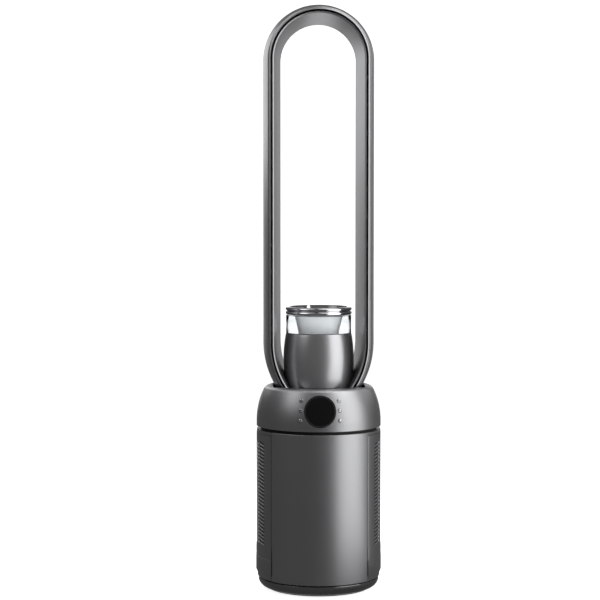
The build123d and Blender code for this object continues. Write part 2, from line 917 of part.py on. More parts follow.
boss_heights = [(low + high) / 2 for low, high in zip(key_heights, key_heights[1:])]
with BuildPart() as head_shell:
    revolve(head_outline(0), axis=Axis.Z)
    revolve(head_outline(wall), axis=Axis.Z, mode=Mode.SUBTRACT)
    ring(0, shadow_radius, head_bottom, head_bottom + wall, mode=Mode.SUBTRACT)
    # opening for the legs and the tank
    with BuildSketch(Plane.XY.offset(deck_level)):
        RectangleRounded(2 * opening_half_length, 2 * opening_half_width, opening_round)
        Circle(tank_foot_radius + opening_gap)
    extrude(amount=head_height, mode=Mode.SUBTRACT)
    # round seat of the display
    with BuildSketch(Plane.XZ.offset(head_radius / 2)):
        with Locations((0, display_height)):
            Circle(display_radius)
    extrude(amount=head_radius, mode=Mode.SUBTRACT)
    for side in (-1, 1):
        for height in key_heights:
            with BuildSketch(key_plane(side, height, head_radius / 2)) as hole:
                Circle(key_radius + key_clearance)
            extrude(hole.sketch, amount=head_radius, mode=Mode.SUBTRACT)
        for height in boss_heights:
            start = key_board_radius + board_thickness
            with BuildSketch(key_plane(side, height, start)) as boss:
                Circle(boss_radius)
            extrude(boss.sketch, amount=head_radius_at(height) - wall / 2 - start)
keep(head_shell, "head_shell")

with BuildPart() as head_deck:
    ring(0, deck_radius, deck_underside, deck_level)
    block(
        2 * deck_radius,
        2 * deck_half_width,
        2 * head_height,
        (0, 0, deck_level),
        mode=Mode.INTERSECT,
    )
    # ports under the hollow legs, outside the tank's bay
    with BuildSketch(Plane.XY.offset(deck_underside)):
        Rectangle(2 * (loop_foot_half_width - 2 * loop_wall), loop_depth - 4 * loop_wall)
        Rectangle(tank_foot_radius, loop_depth, mode=Mode.SUBTRACT)
        Circle(plenum_radius - thin_wall, mode=Mode.INTERSECT)
        Circle(bay_radius + thin_wall, mode=Mode.SUBTRACT)
    extrude(amount=plate, mode=Mode.SUBTRACT)
keep(head_deck, "head_deck")

# Display window, flush with the curved front, and the ring and board behind it
with BuildPart() as display_lens:
    with BuildSketch(Plane.XZ.offset(head_radius / 2)):
        with Locations((0, display_height)):
            Circle(display_radius)
    extrude(amount=head_radius)
    revolve(head_outline(-lens_proud), axis=Axis.Z, mode=Mode.INTERSECT)
    revolve(head_outline(wall), axis=Axis.Z, mode=Mode.SUBTRACT)
keep(display_lens, "display_lens")

with BuildPart() as display_bezel:
    with BuildSketch(Plane.XZ.offset(display_board_depth)):
        with Locations((0, display_height)):
            Circle(display_radius - bezel_inset)
            Circle(display_radius - bezel_inset - bezel_width, mode=Mode.SUBTRACT)
    extrude(amount=head_radius)
    revolve(head_outline(wall), axis=Axis.Z, mode=Mode.INTERSECT)
keep(display_bezel, "display_bezel")

with BuildPart() as display_board:
    with BuildSketch(Plane.XZ.offset(display_board_depth - board_thickness)):
        with Locations((0, display_height)):
            Circle(display_radius - bezel_inset)
    extrude(amount=board_thickness)
keep(display_board, "display_board")


def touch_key(side, height):
    """Domed push key: cap, stem and the flange that keeps it behind the shell."""
    surface = head_radius_at(height)
    back = key_board_radius + board_thickness + key_travel + key_clearance
    flange_front = head_radius_at(height + key_flange_radius) - key_flange_setback - key_clearance
    with BuildPart() as key:
        with BuildSketch(key_plane(side, height, back)) as stem:
            Circle(key_radius)
        extrude(stem.sketch, amount=surface + key_proud - back)
        cap = key.edges().filter_by(GeomType.CIRCLE).sort_by_distance((0, 0, height))[-1]
        fillet(cap, key_proud)
        with BuildSketch(key_plane(side, height, flange_front - key_flange)) as flange:
            Circle(key_flange_radius)
        extrude(flange.sketch, amount=key_flange)
    return key


def key_board(side):
    """Switch board standing behind one column of keys."""
    with BuildPart() as board:
        with BuildSketch(key_plane(side, key_board_centre, key_board_radius)) as outline:
            Rectangle(key_board_height, key_board_width)
        extrude(outline.sketch, amount=board_thickness)
    return board


for side, side_name in ((-1, "left"), (1, "right")):
    for height, level_name in zip(key_heights, ("lower", "middle", "upper")):
        keep(touch_key(side, height), f"{side_name}_{level_name}_key")
    keep(key_board(side), f"{side_name}_key_board")

# ---------------------------------------------------------------- air loop


def loop_section():
    """Whole section of the loop's right leg: narrow front lip, bowed flank, thick back."""
    front = -loop_depth / 2
    back = loop_depth / 2
    flank = []
    for step in range(loop_flank_steps + 1):
        share = step / loop_flank_steps
        bow = (loop_half_width - loop_lip_half_width) * share**2
        flank.append((loop_half_width - bow, loop_widest_depth + (front - loop_widest_depth) * share))
    with BuildSketch() as wedge:
        with BuildLine():
            Polyline(
                *flank,
                (liner_front_half_width, front),
                (liner_back_half_width, back),
                (loop_half_width, back),
                close=True,
            )
        make_face()
        fillet(wedge.vertices().group_by(Axis.Y)[0].sort_by(Axis.X)[-1], loop_front_round)
        fillet(wedge.vertices().group_by(Axis.Y)[-1].sort_by(Axis.X)[-1], loop_back_round)
        fillet(wedge.vertices().group_by(Axis.Y)[-1].sort_by(Axis.X)[0], loop_wall)
    return wedge.sketch


def loop_core():
    """The air space inside the wedge section."""
    with BuildSketch() as core:
        offset(loop_section(), amount=-loop_wall)
    return core.sketch


def loop_skin():
    """The wedge's hollow outline, open at the front slot."""
    with BuildSketch() as skin:
        add(loop_section())
        add(loop_core(), mode=Mode.SUBTRACT)
        with Locations((slot_middle, -loop_depth / 2)):
            Rectangle(slot_width, 2 * slot_depth, mode=Mode.SUBTRACT)
    return skin.sketch


def loop_profile(inside):
    """The liner's part of the skin (inside) or the outer shell's part."""
    split_at = slot_middle
    with BuildSketch() as profile:
        add(loop_skin())
        with BuildLine():
            Polyline(
                (split_at, -loop_depth),
                (split_at, loop_depth / 2 - 2 * loop_wall),
                (0, loop_depth / 2 - 2 * loop_wall),
                (0, -loop_depth),
                close=True,
            )
        make_face(mode=Mode.INTERSECT if inside else Mode.SUBTRACT)
    return profile.sketch


def loop_part(profile):
    """Carry a section up both legs, over the top and down both inward bends."""
    bend_axis = Axis((bend_centre, 0, loop_bend_height), (0, 1, 0))
    arc_axis = Axis((0, 0, loop_arc_height), (0, 1, 0))
    low = profile.moved(Location((0, 0, loop_bend_height)))
    high = profile.moved(Location((0, 0, loop_arc_height)))
    with BuildPart() as part:
        extrude(low, amount=loop_arc_height - loop_bend_height, dir=(0, 0, 1))
        revolve(low, axis=bend_axis, revolution_arc=60)
        split(bisect_by=Plane.XY.offset(loop_end_height), keep=Keep.TOP)
        mirror(about=Plane.YZ)
        revolve(high, axis=arc_axis, revolution_arc=-180)
    return part


loop_shell = loop_part(loop_profile(False))
keep(loop_shell, "loop_shell")

# The liner is scooped out round the tank and closed again by the tank bay's wall
loop_hollow = loop_part(loop_core())
with BuildPart() as tank_bay:
    ring(bay_radius, bay_radius + thin_wall, loop_end_height, loop_bend_height)
    add(loop_hollow.part, mode=Mode.INTERSECT)
loop_liner = loop_part(loop_profile(True))
with loop_liner:
    ring(0, bay_radius, loop_end_height, loop_bend_height, mode=Mode.SUBTRACT)
    add(tank_bay.part)
keep(loop_liner, "loop_liner")

# Soft gaskets between the legs' feet and the head's deck
with BuildPart() as leg_gaskets:
    with BuildSketch(Plane.XY.offset(deck_level)) as feet:
        Rectangle(2 * loop_foot_half_width, loop_depth - 2 * loop_wall)
        Rectangle(gasket_gap, loop_depth, mode=Mode.SUBTRACT)
        Circle(bay_radius, mode=Mode.SUBTRACT)
        with BuildSketch(mode=Mode.PRIVATE) as inside:
            Rectangle(2 * (loop_foot_half_width - 2 * loop_wall), loop_depth - 6 * loop_wall)
            Circle(bay_radius + 2 * thin_wall, mode=Mode.SUBTRACT)
        add(inside.sketch, mode=Mode.SUBTRACT)
    extrude(amount=gasket_height)
keep(leg_gaskets, "leg_gaskets")

# Small webs that hold the slot's width, the same number on each leg
with BuildPart() as slot_spacers:
    for number in range(spacer_count):
        height = spacer_first_height + number * spacer_pitch
        for side in (-1, 1):
            block(
                slot_width,
                slot_depth - spacer_setback,
                spacer_height,
                (
                    side * slot_middle,
                    -loop_depth / 2 + (slot_depth + spacer_setback) / 2,
                    height,
                ),
            )
keep(slot_spacers, "slot_spacers")

# ---------------------------------------------------------------- mist tank
with BuildPart() as tank_seat:
    turned(
        (0, deck_level),
        (seat_outer_radius, deck_level),
        (seat_outer_radius, tank_bottom - travel_gap),
        (seat_inner_radius, tank_bottom - travel_gap),
        (seat_inner_radius, deck_level + plate),
        (0, deck_level + plate),
    )
keep(tank_seat, "tank_seat")

with BuildPart() as mist_disc:
    ring(0, mist_disc_radius, deck_level + plate, deck_level + 2 * plate)
keep(mist_disc, "mist_disc")

tank_floor = tank_bottom + 2 * plate
with BuildPart() as tank_cup:
    with BuildSketch(Plane.XZ):
        with BuildLine():
            belly = ThreePointArc(
                (tank_foot_radius, tank_bottom),
                (tank_belly_radius, tank_belly_height),
                (tank_neck_radius, window_bottom),
            )
            inner_belly = ThreePointArc(
                (tank_foot_radius - wall, tank_floor),
                (tank_belly_radius - wall, tank_belly_height),
                (tank_neck_radius - wall, window_bottom),
            )
            Line(belly @ 1, inner_belly @ 1)
            Polyline(
                inner_belly @ 0,
                (chimney_bottom_radius, tank_floor),
                (chimney_bottom_radius, tank_bottom),
                belly @ 0,
            )
        make_face()
    revolve(axis=Axis.Z)
keep(tank_cup, "tank_cup")

with BuildPart() as water_window:
    ring(window_radius - wall, window_radius, window_bottom, window_top)
keep(water_window, "water_window")

# Flared mist chimney standing in the tank
chimney_top = window_top - chimney_setback
with BuildPart() as mist_chimney:
    with BuildSketch(Plane.XZ):
        with BuildLine():
            outer_side = Spline(
                (chimney_bottom_radius, tank_floor),
                (chimney_waist_radius, window_bottom + chimney_waist_rise),
                (chimney_flare_radius, chimney_top),
                tangents=((0, 1), (1, 1)),
            )
            inner_side = Spline(
                (chimney_bottom_radius - chimney_wall, tank_floor),
                (chimney_waist_radius - chimney_wall, window_bottom + chimney_waist_rise),
                (chimney_flare_radius - chimney_wall, chimney_top),
                tangents=((0, 1), (1, 1)),
            )
            Polyline(
                outer_side @ 0,
                (chimney_bottom_radius, tank_bottom),
                (chimney_bottom_radius - chimney_wall, tank_bottom),
                inner_side @ 0,
            )
            Line(outer_side @ 1, inner_side @ 1)
        make_face()
    revolve(axis=Axis.Z)
keep(mist_chimney, "mist_chimney")

# Polished lid: two stacked beads round a recessed middle with the mist outlet
lid_low = window_top + travel_gap
lid_middle = (lid_low + rim_top) / 2
lid_bore = chimney_flare_radius + travel_gap
with BuildPart() as tank_lid:
    turned(
        (lid_bore, lid_low),
        (rim_radius - rim_bevel, lid_low),
        (rim_radius, lid_low + rim_bevel),
        (rim_radius, lid_middle - rim_groove),
        (rim_radius - rim_groove, lid_middle),
        (rim_radius, lid_middle + rim_groove),
        (rim_radius, rim_top - rim_bevel),
        (rim_radius - rim_bevel, rim_top),
        (rim_radius - rim_width, rim_top),
        (rim_radius - rim_width - rim_slope, lid_middle),
        (lid_bore, lid_middle - rim_groove),
    )
keep(tank_lid, "tank_lid")

# ---------------------------------------------------------------- electrics and fasteners
inlet_face = panel_radius - inlet_setback
board_middle = inlet_face - inlet_depth - board_thickness / 2
with BuildPart() as mains_inlet:
    block(
        inlet_width,
        inlet_depth,
        inlet_height,
        (0, inlet_face - inlet_depth / 2, inlet_centre_height),
    )
    block(
        inlet_width - 2 * inlet_lip,
        inlet_depth / 2,
        inlet_height - 2 * inlet_lip,
        (0, inlet_face, inlet_centre_height),
        mode=Mode.SUBTRACT,
    )
keep(mains_inlet, "mains_inlet")

with BuildPart() as power_board:
    block(
        power_board_width,
        board_thickness,
        power_board_height,
        (0, board_middle, chassis_floor_top + power_board_height / 2),
    )
keep(power_board, "power_board")
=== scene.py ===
import json
import math

import bmesh
import bpy
import numpy as np
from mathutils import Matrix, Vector


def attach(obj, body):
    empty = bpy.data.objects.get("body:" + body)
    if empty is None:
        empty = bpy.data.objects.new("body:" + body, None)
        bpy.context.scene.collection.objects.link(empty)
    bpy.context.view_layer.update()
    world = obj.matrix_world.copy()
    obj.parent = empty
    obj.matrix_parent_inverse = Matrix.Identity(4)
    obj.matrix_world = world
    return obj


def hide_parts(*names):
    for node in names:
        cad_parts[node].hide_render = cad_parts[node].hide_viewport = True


bl_info = {
    "name": "Bladeless tower fan",
    "version": (1, 0, 0),
    "blender": (4, 5, 0),
    "location": "3D View > Sidebar > Fan",
    "description": "Dresses a bladeless tower fan with a mist tank, and its studio",
    "category": "Object",
}

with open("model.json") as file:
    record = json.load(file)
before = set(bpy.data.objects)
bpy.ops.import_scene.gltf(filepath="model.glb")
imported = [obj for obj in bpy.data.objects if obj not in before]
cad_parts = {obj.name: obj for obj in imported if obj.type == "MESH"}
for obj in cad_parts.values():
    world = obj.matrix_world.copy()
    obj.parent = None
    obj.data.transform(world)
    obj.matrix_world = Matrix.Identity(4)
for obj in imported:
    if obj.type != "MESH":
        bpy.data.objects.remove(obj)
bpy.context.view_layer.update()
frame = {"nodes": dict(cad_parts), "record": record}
NODES = frame["nodes"]
MM = 0.001

# Sizes in millimetres that the dressed pieces share with the frame
PANEL_RADIUS = 104.0
COVER_RADIUS = 104.4
SKIRT_RADIUS = 105.38
HEAD_RADIUS = 104.4
WALL = 2.5
SEAM = 80.0  # from the middle to the upright planes between panels and covers
SEAM_GAP = 0.25
BODY_LOW, BODY_HIGH = 22.0, 269.5
SKIRT_HIGH = 57.5
COVER_LOW, COVER_HIGH = 58.0, 264.4
COVER_SILL = (0.7, 72.0, 82.0)  # swell of the cover's foot, and the heights it fades between
COLLAR_LOW = 264.9
HEAD_ARC = (-15.2, 284.0, 119.6)  # of the side wall: its centre's offset and height, its radius
DISPLAY = (308.0, 26.3)  # height and radius
KEY_OFFSET = 32.6
KEY_HEIGHTS = {"lower": 293.0, "middle": 309.5, "upper": 325.0}
LOOP_FRONT, LOOP_BACK = -48.0, 48.0
LOOP_FOOT = 331.0
LOOP_BEND = 415.0  # where the legs turn plumb
LOOP_BEND_CENTRE = -56.2
LOOP_ARC = 884.0  # height of the arch's centre
BAY_RADIUS = 60.3
TANK_BOTTOM, TANK_FLOOR = 337.0, 343.0
TANK_RADIUS = 54.8  # of the neck and of the clear band
WINDOW_LOW, WINDOW_HIGH = 430.0, 460.5
CHIMNEY_HIGH = 459.5
LID_LOW, LID_HIGH = 461.0, 474.0


# ---------------------------------------------------------------- meshes
def grid_faces(rows, columns, wrap_rows=False, wrap_columns=False):
    """Corner numbers of a grid's quads; a wrapped side joins its last line to its first."""
    row = np.arange(rows if wrap_rows else rows - 1)[:, None]
    column = np.arange(columns if wrap_columns else columns - 1)[None, :]
    below, beside = (row + 1) % rows, (column + 1) % columns
    corners = (
        row * columns + column,
        below * columns + column,
        below * columns + beside,
        row * columns + beside,
    )
    return np.stack(corners, -1).reshape(-1, 4)


def sheet(points):
    """An open grid of points (rows, columns, 3) with its quads."""
    return points, grid_faces(*points.shape[:2])


def solid(name, sheets, sharp=35.0):
    """Object of (points, faces) sheets in millimetres: joined, turned outwards and smoothed."""
    points, faces, count = [], [], 0
    for sheet_points, sheet_faces in sheets:
        flat = np.asarray(sheet_points, float).reshape(-1, 3)
        points.append(flat)
        faces += [[int(corner) + count for corner in face] for face in sheet_faces]
        count += len(flat)
    mesh = bpy.data.meshes.new(name)
    mesh.from_pydata((np.concatenate(points) * MM).tolist(), [], faces)
    work = bmesh.new()
    work.from_mesh(mesh)
    bmesh.ops.remove_doubles(work, verts=work.verts, dist=2e-6)
    bmesh.ops.dissolve_degenerate(work, dist=1e-7, edges=work.edges)
    bmesh.ops.recalc_face_normals(work, faces=work.faces)
    work.to_mesh(mesh)
    work.free()
    mesh.polygons.foreach_set("use_smooth", np.ones(len(mesh.polygons), bool))
    mesh.set_sharp_from_angle(angle=math.radians(sharp))
    thing = bpy.data.objects.new(name, mesh)
    bpy.context.scene.collection.objects.link(thing)
    return thing


def carried(points, wrap_path=False):
    """A closed outline carried along a path, (path, outline, 3): its skin, and end faces."""
    rows, columns = points.shape[:2]
    faces = list(grid_faces(rows, columns, wrap_path, True))
    if not wrap_path:
        faces += [range(columns), range((rows - 1) * columns, rows * columns)]
    return points, faces


def rounded(corners, radii, steps=5):
    """Closed outline with each corner replaced by a circular arc that touches both its sides.

    The arc's centre lies on the corner's bisector; a radius of 0 keeps the corner."""
    corners = np.asarray(corners, float)
    outline = []
    for here, radius in enumerate(radii):
        corner = corners[here]
        if radius == 0:
            outline.append(corner[None, :])
            continue
        back = corners[here - 1] - corner
        ahead = corners[(here + 1) % len(corners)] - corner
        back /= np.linalg.norm(back)
        ahead /= np.linalg.norm(ahead)
        half = math.acos(float(np.clip(back @ ahead, -1, 1))) / 2
        middle = (back + ahead) / np.linalg.norm(back + ahead)
        centre = corner + middle * radius / math.sin(half)
        start = corner + back * radius / math.tan(half) - centre
        finish = corner + ahead * radius / math.tan(half) - centre
        share = np.linspace(0, 1, steps + 1)[:, None]
        sweep = math.pi - 2 * half
        arc = (np.sin((1 - share) * sweep) * start + np.sin(share * sweep) * finish)
        outline.append(centre + arc / math.sin(sweep))
    return np.concatenate(outline)


def ring_outline(outer, inner, low, high):
    """Outline of a plain ring: an upright rectangle between two radii and two heights."""
    return np.array([(outer, low), (outer, high), (inner, high), (inner, low)])


def turned(outline, steps=192):
    """Outline of (radius, height) pairs turned once about the fan's axis."""
    angle = np.linspace(0, 2 * math.pi, steps, endpoint=False)[:, None]
    radius, height = outline[:, 0][None, :], outline[:, 1][None, :]
    points = (radius * np.cos(angle), radius * np.sin(angle), height + 0 * angle)
    return carried(np.stack(points, -1), wrap_path=True)


def end_band(outline, sign, edge, steps=96):
    """Outline turned between two upright planes x = -edge and x = +edge, front or back.

    Each radius stops at its own angle arcsin(edge / radius), so both ends are flat."""
    share = np.linspace(-1, 1, steps + 1)[:, None]
    radius, height = outline[:, 0][None, :], outline[:, 1][None, :]
    angle = share * np.arcsin(edge / radius)
    points = (radius * np.sin(angle), sign * radius * np.cos(angle), height + 0 * angle)
    return carried(np.stack(points, -1))


def side_band(outline, sign, edge, steps=80):
    """Outline turned on the outer side of the upright plane x = sign * edge.

    Each radius stops at its own angle arccos(edge / radius), so both ends are flat."""
    share = np.linspace(-1, 1, steps + 1)[:, None]
    radius, height = outline[:, 0][None, :], outline[:, 1][None, :]
    angle = share * np.arccos(edge / radius)
    points = (sign * radius * np.cos(angle), radius * np.sin(angle), height + 0 * angle)
    return carried(np.stack(points, -1))


def bevelled(thing, width, segments=3):
    """Soft moulded edges, width in millimetres, wherever two faces meet sharply."""
    bevel = thing.modifiers.new("soft edge", "BEVEL")
    bevel.width = width * MM
    bevel.segments = segments
    bevel.limit_method = "ANGLE"
    bevel.angle_limit = math.radians(40)
    bevel.harden_normals = True
    return thing


def head_radius(height):
    """Radius of the head's side wall: a plumb foot, then one large arc leaning inwards."""
    centre, start, radius = HEAD_ARC
    rise = np.maximum(height - start, 0)
    return centre + np.sqrt(radius**2 - rise**2)


def axial(points):
    """Outward direction from the fan's own axis at each point."""
    away = points * (1, 1, 0)
    return away / np.maximum(np.linalg.norm(away, axis=1, keepdims=True), 1e-9)


def head_normal(points):
    """Outward direction of the head's wall: level at its foot, then from the arc's centre."""
    centre, start, radius = HEAD_ARC
    rise = np.maximum(points[:, 2] / MM - start, 0) / radius
    level = np.sqrt(1 - np.minimum(rise, 0.99) ** 2)
    out = axial(points) * level[:, None]
    out[:, 2] = rise
    return out


def read(items, key, width, kind=float):
    """One attribute of every item, as rows of the given width."""
    values = np.zeros(len(items) * width, kind)
    items.foreach_get(key, values)
    return values.reshape(-1, width)


def smooth_copy(node, name, normal_at, reach):
    """Merged copy of a frame node, shaded with exact surface directions where they apply.

    A corner takes normal_at's direction if its face leans less than reach degrees from it
    and it lies on the outer skin; every other corner keeps the smoothed one."""
    mesh = NODES[node].data.copy()
    mesh.name = name
    mesh.materials.clear()
    work = bmesh.new()
    work.from_mesh(mesh)
    bmesh.ops.remove_doubles(work, verts=work.verts, dist=2e-6)
    work.to_mesh(mesh)
    work.free()
    mesh.polygons.foreach_set("use_smooth", np.ones(len(mesh.polygons), bool))
    mesh.set_sharp_from_angle(angle=math.radians(28))
    corner = read(mesh.loops, "vertex_index", 1, int)[:, 0]
    smooth = read(mesh.corner_normals, "vector", 3, np.float32)
    exact = normal_at(read(mesh.vertices, "co", 3)[corner])
    corners_of_face = read(mesh.polygons, "loop_total", 1, int)[:, 0]
    face = np.repeat(read(mesh.polygons, "normal", 3), corners_of_face, axis=0)
    outer = (face * exact).sum(1) > math.cos(math.radians(reach))
    directions = np.where(outer[:, None], exact, smooth)
    mesh.normals_split_custom_set(directions.tolist())
    thing = bpy.data.objects.new(name, mesh)
    bpy.context.scene.collection.objects.link(thing)
    return thing


# ---------------------------------------------------------------- materials
class Value:
    """A material's value socket; sums and products of it add Math nodes."""

    def __init__(self, finish, socket):
        self.finish, self.socket = finish, socket

    def math(self, operation, *inputs):
        settings = {"operation": operation}
        return self.finish.node("ShaderNodeMath", settings, dict(enumerate(inputs)))

    def __add__(self, other):
        return self.math("ADD", self, other)

    def __sub__(self, other):
        return self.math("SUBTRACT", self, other)

    def __rsub__(self, other):
        return self.math("SUBTRACT", other, self)

    def __mul__(self, other):
        return self.math("MULTIPLY", self, other)

    def __pow__(self, other):
        return self.math("POWER", self, other)

    def sine(self):
        return self.math("SINE", self)

    def capped(self, level):
        return self.math("MINIMUM", self, level)

    def above(self, level):
        return self.math("GREATER_THAN", self, level)

    def below(self, level):
        return self.math("LESS_THAN", self, level)

    __radd__ = __add__
    __rmul__ = __mul__


class Finish:
    """One surface finish: a Principled material written as expressions on its sockets."""

    def __init__(self, name, **constants):
        self.material = bpy.data.materials.new(name)
        self.material.use_nodes = True
        self.tree = self.material.node_tree
        self.shader = self.tree.nodes["Principled BSDF"]
        for socket, value in constants.items():
            self.put(self.shader.inputs[socket.replace("_", " ")], value)

    def put(self, socket, value):
        """Give a socket a link, a number or a colour."""
        if isinstance(value, Value):
            self.tree.links.new(value.socket, socket)
        elif isinstance(value, tuple) and len(value) == 3 and socket.type == "RGBA":
            socket.default_value = (*value, 1.0)
        else:
            socket.default_value = value

    def node(self, kind, settings, inputs, output=0):
        """Add a node: its settings first, then its sockets' values or links."""
        made = self.tree.nodes.new(kind)
        for setting, value in settings.items():
            setattr(made, setting, value)
        for socket, value in inputs.items():
            self.put(made.inputs[socket], value)
        return Value(self, made.outputs[output])

    def place(self):
        """Object coordinates in metres."""
        return self.node("ShaderNodeTexCoord", {}, {}, "Object")

    def axes(self):
        """The three Object coordinates as values."""
        split = self.node("ShaderNodeSeparateXYZ", {}, {0: self.place()})
        sockets = split.socket.node.outputs
        return [Value(self, sockets[axis]) for axis in "XYZ"]

    def noise(self, per_metre, detail=2.0, roughness=0.5, stretch=(1, 1, 1)):
        """Noise of a given number of grains per metre, from 0 to 1."""
        mapping = self.node("ShaderNodeMapping", {}, {"Vector": self.place(), "Scale": stretch})
        inputs = {"Vector": mapping, "Scale": per_metre, "Detail": detail, "Roughness": roughness}
        return self.node("ShaderNodeTexNoise", {}, inputs)

    def blend(self, share, low, high):
        """Colour between low and high."""
        return self.node("ShaderNodeMix", {"data_type": "RGBA"}, {0: share, 6: low, 7: high}, 2)

    def bump(self, height, depth, strength=1.0):
        """Relief of a depth in metres, from a height between 0 and 1."""
        inputs = {"Height": height, "Distance": depth, "Strength": strength}
        self.put(self.shader.inputs["Normal"], self.node("ShaderNodeBump", {}, inputs))

    def seen(self):
        """1 for what the eye sees straight, mirrored in metal or through glass, and 0 for light."""
        camera, glossy, transmission = (
            self.node("ShaderNodeLightPath", {}, {}, f"Is {ray} Ray")
            for ray in ("Camera", "Glossy", "Transmission")
        )
        return (camera + glossy + transmission).capped(1.0)

    def colour(self, value):
        self.put(self.shader.inputs["Base Color"], value)

    def roughness(self, value):
        self.put(self.shader.inputs["Roughness"], value)


class Surroundings(Finish):
    """The world's shader, written the same way."""

    def __init__(self, world):
        self.tree = world.node_tree
        self.shader = self.tree.nodes["Background"]


def tint(colour, gain):
    """A colour made lighter or darker by a factor."""
    return tuple(part * gain for part in colour)


def metallic_paint(name, colour, roughness, flake=0.10, peel=6e-6, metallic=1.0):
    """Satin metallic lacquer: fine bright flakes, faint clouding and a soft orange peel."""
    finish = Finish(name, Metallic=metallic)
    flakes = finish.noise(2600.0, detail=1.0)
    clouds = finish.noise(9.0, detail=2.0)
    share = flakes * 0.7 + clouds * 0.3
    finish.colour(finish.blend(share, tint(colour, 1 - flake), tint(colour, 1 + flake)))
    finish.roughness(flakes * 0.05 + clouds * 0.03 + (roughness - 0.04))
    finish.bump(finish.noise(520.0, detail=1.0), peel)
    return finish.material


def moulded(name, colour, roughness, vary=0.12, depth=1.2e-5):
    """Moulded plastic or rubber: fine spark-eroded grain and slight unevenness of gloss."""
    finish = Finish(name)
    grains = finish.noise(900.0, detail=3.0)
    share = grains * 0.5 + finish.noise(14.0) * 0.5
    finish.colour(finish.blend(share, tint(colour, 1 - vary), tint(colour, 1 + vary)))
    finish.roughness(grains * 0.08 + (roughness - 0.04))
    finish.bump(grains, depth)
    return finish.material


def machined(name, colour, roughness):
    """Turned or brushed metal: fine lines across one axis and a patchy sheen."""
    finish = Finish(name, Metallic=1.0)
    streaks = finish.noise(140.0, detail=3.0, stretch=(1, 1, 40))
    finish.colour(finish.blend(streaks, tint(colour, 0.85), tint(colour, 1.1)))
    finish.roughness(streaks * 0.16 + (roughness - 0.08))
    finish.bump(streaks, 8e-6)
    return finish.material


def cast(name, colour):
    """Rough casting: coarse skin with darker pits."""
    finish = Finish(name, Metallic=0.6)
    skin = finish.noise(420.0, detail=6.0, roughness=0.7)
    finish.colour(finish.blend(skin, tint(colour, 0.6), tint(colour, 1.3)))
    finish.roughness(skin * 0.2 + 0.55)
    finish.bump(skin, 1.5e-4)
    return finish.material


def circuit(name, colour):
    """Lacquered circuit board: square tracks a little lighter than the ground."""
    finish = Finish(name, Roughness=0.38)
    x, _, z = finish.axes()
    tracks = (x * 900.0).sine() * (z * 900.0).sine()
    finish.colour(finish.blend(tracks.above(0.55), colour, tint(colour, 1.8)))
    return finish.material


def pleated(name, colour):
    """Folded filter paper: fibres and soft shade down in the pleats."""
    finish = Finish(name, Roughness=0.9)
    fibres = finish.noise(700.0, detail=5.0, stretch=(1, 1, 0.3))
    finish.colour(finish.blend(fibres, tint(colour, 0.8), tint(colour, 1.08)))
    finish.bump(fibres, 6e-5)
    return finish.material


def display_glass(name):
    """Black display window with a faintly lighter printed rim, 1.2 to 2.6 mm from its edge."""
    finish = Finish(name, Roughness=0.08, Specular_IOR_Level=0.3)
    x, _, z = finish.axes()
    height, radius = DISPLAY
    away = ((x * x) + (z - height * MM) ** 2) ** 0.5
    rim = away.above((radius - 2.6) * MM) * away.below((radius - 1.2) * MM)
    finish.colour(finish.blend(rim, (0.0035, 0.0035, 0.0038), (0.022, 0.022, 0.024)))
    return finish.material


def tank_window(name):
    """Clear band of the tank: colourless plastic whose top and bottom 1 mm are dark, painted shade
    where it meets the cup and the lid.
    """
    finish = Finish(name, Roughness=0.03, IOR=1.25, Transmission_Weight=1.0)
    _, _, z = finish.axes()
    # painted shade at the joins with the cup and the lid
    edges = z.below((WINDOW_LOW + 1.0) * MM) + z.above((WINDOW_HIGH - 1.0) * MM)
    finish.colour(finish.blend(edges.capped(1.0), (0.93, 0.95, 0.96), (0.05, 0.05, 0.05)))
    return finish.material


def chrome(name, colour):
    """Polished plated trim with a hint of haze."""
    finish = Finish(name, Metallic=1.0)
    haze = finish.noise(60.0, detail=3.0)
    finish.colour(finish.blend(haze, tint(colour, 0.96), tint(colour, 1.03)))
    finish.roughness(haze * 0.05 + 0.07)
    return finish.material


# ---------------------------------------------------------------- settings
def amount(name, description, default, low=0.0, high=100.0, subtype="NONE"):
    """A number to set."""
    return bpy.props.FloatProperty(
        name=name, description=description, default=default, min=low, max=high, subtype=subtype
    )


def shade(name, description, default):
    """A colour to set."""
    return bpy.props.FloatVectorProperty(
        name=name, description=description, default=default, min=0.0, max=1.0, subtype="COLOR"
    )


class FanStageSettings(bpy.types.PropertyGroup):
    """Light and floor of the studio."""

    key_strength: amount("Right softboxes", "Brightness of the boxes on the right", 2.6)
    top_strength: amount("Top softboxes", "Brightness of the boxes above", 3.1)
    left_strength: amount("Left softboxes", "Brightness of the boxes on the left", 1.1)
    room: amount("Room", "Brightness of the room's even light", 0.2)
    cloth: amount("Dark cloth", "Brightness of the dark cloths in reflections", 0.12)
    floor_glow: amount("Floor glow", "How far the floor is lifted to white", 0.84)
    floor_colour: shade("Floor", "Colour of the floor and the backdrop", (0.86, 0.86, 0.86))


class FanFinishSettings(bpy.types.PropertyGroup):
    """Colours and gloss of the housings."""

    metal: shade("Housing", "Colour of the satin metallic housings", (0.300, 0.302, 0.308))
    grille: shade("Side covers", "Colour of the slotted side covers", (0.290, 0.292, 0.298))
    liner: shade("Loop liner", "Colour of the loop's inner wall", (0.290, 0.292, 0.298))
    tank: shade("Tank", "Colour of the metal tank", (0.350, 0.353, 0.360))
    gloss: amount("Roughness", "Roughness of the satin lacquer", 0.40, 0.05, 1.0, "FACTOR")


class FanShapeSettings(bpy.types.PropertyGroup):
    """Fineness of the dressed shapes."""

    edge: amount("Panel edge", "Softness of the panels' edges, in millimetres", 0.7, 0.1, 1.0)
    lip: amount("Slot lip", "Round of the air slot's two lips, in millimetres", 0.3, 0.1, 1.0)
    arch_steps: bpy.props.IntProperty(
        name="Arch steps", description="Steps round the top of the loop", default=120, min=24
    )


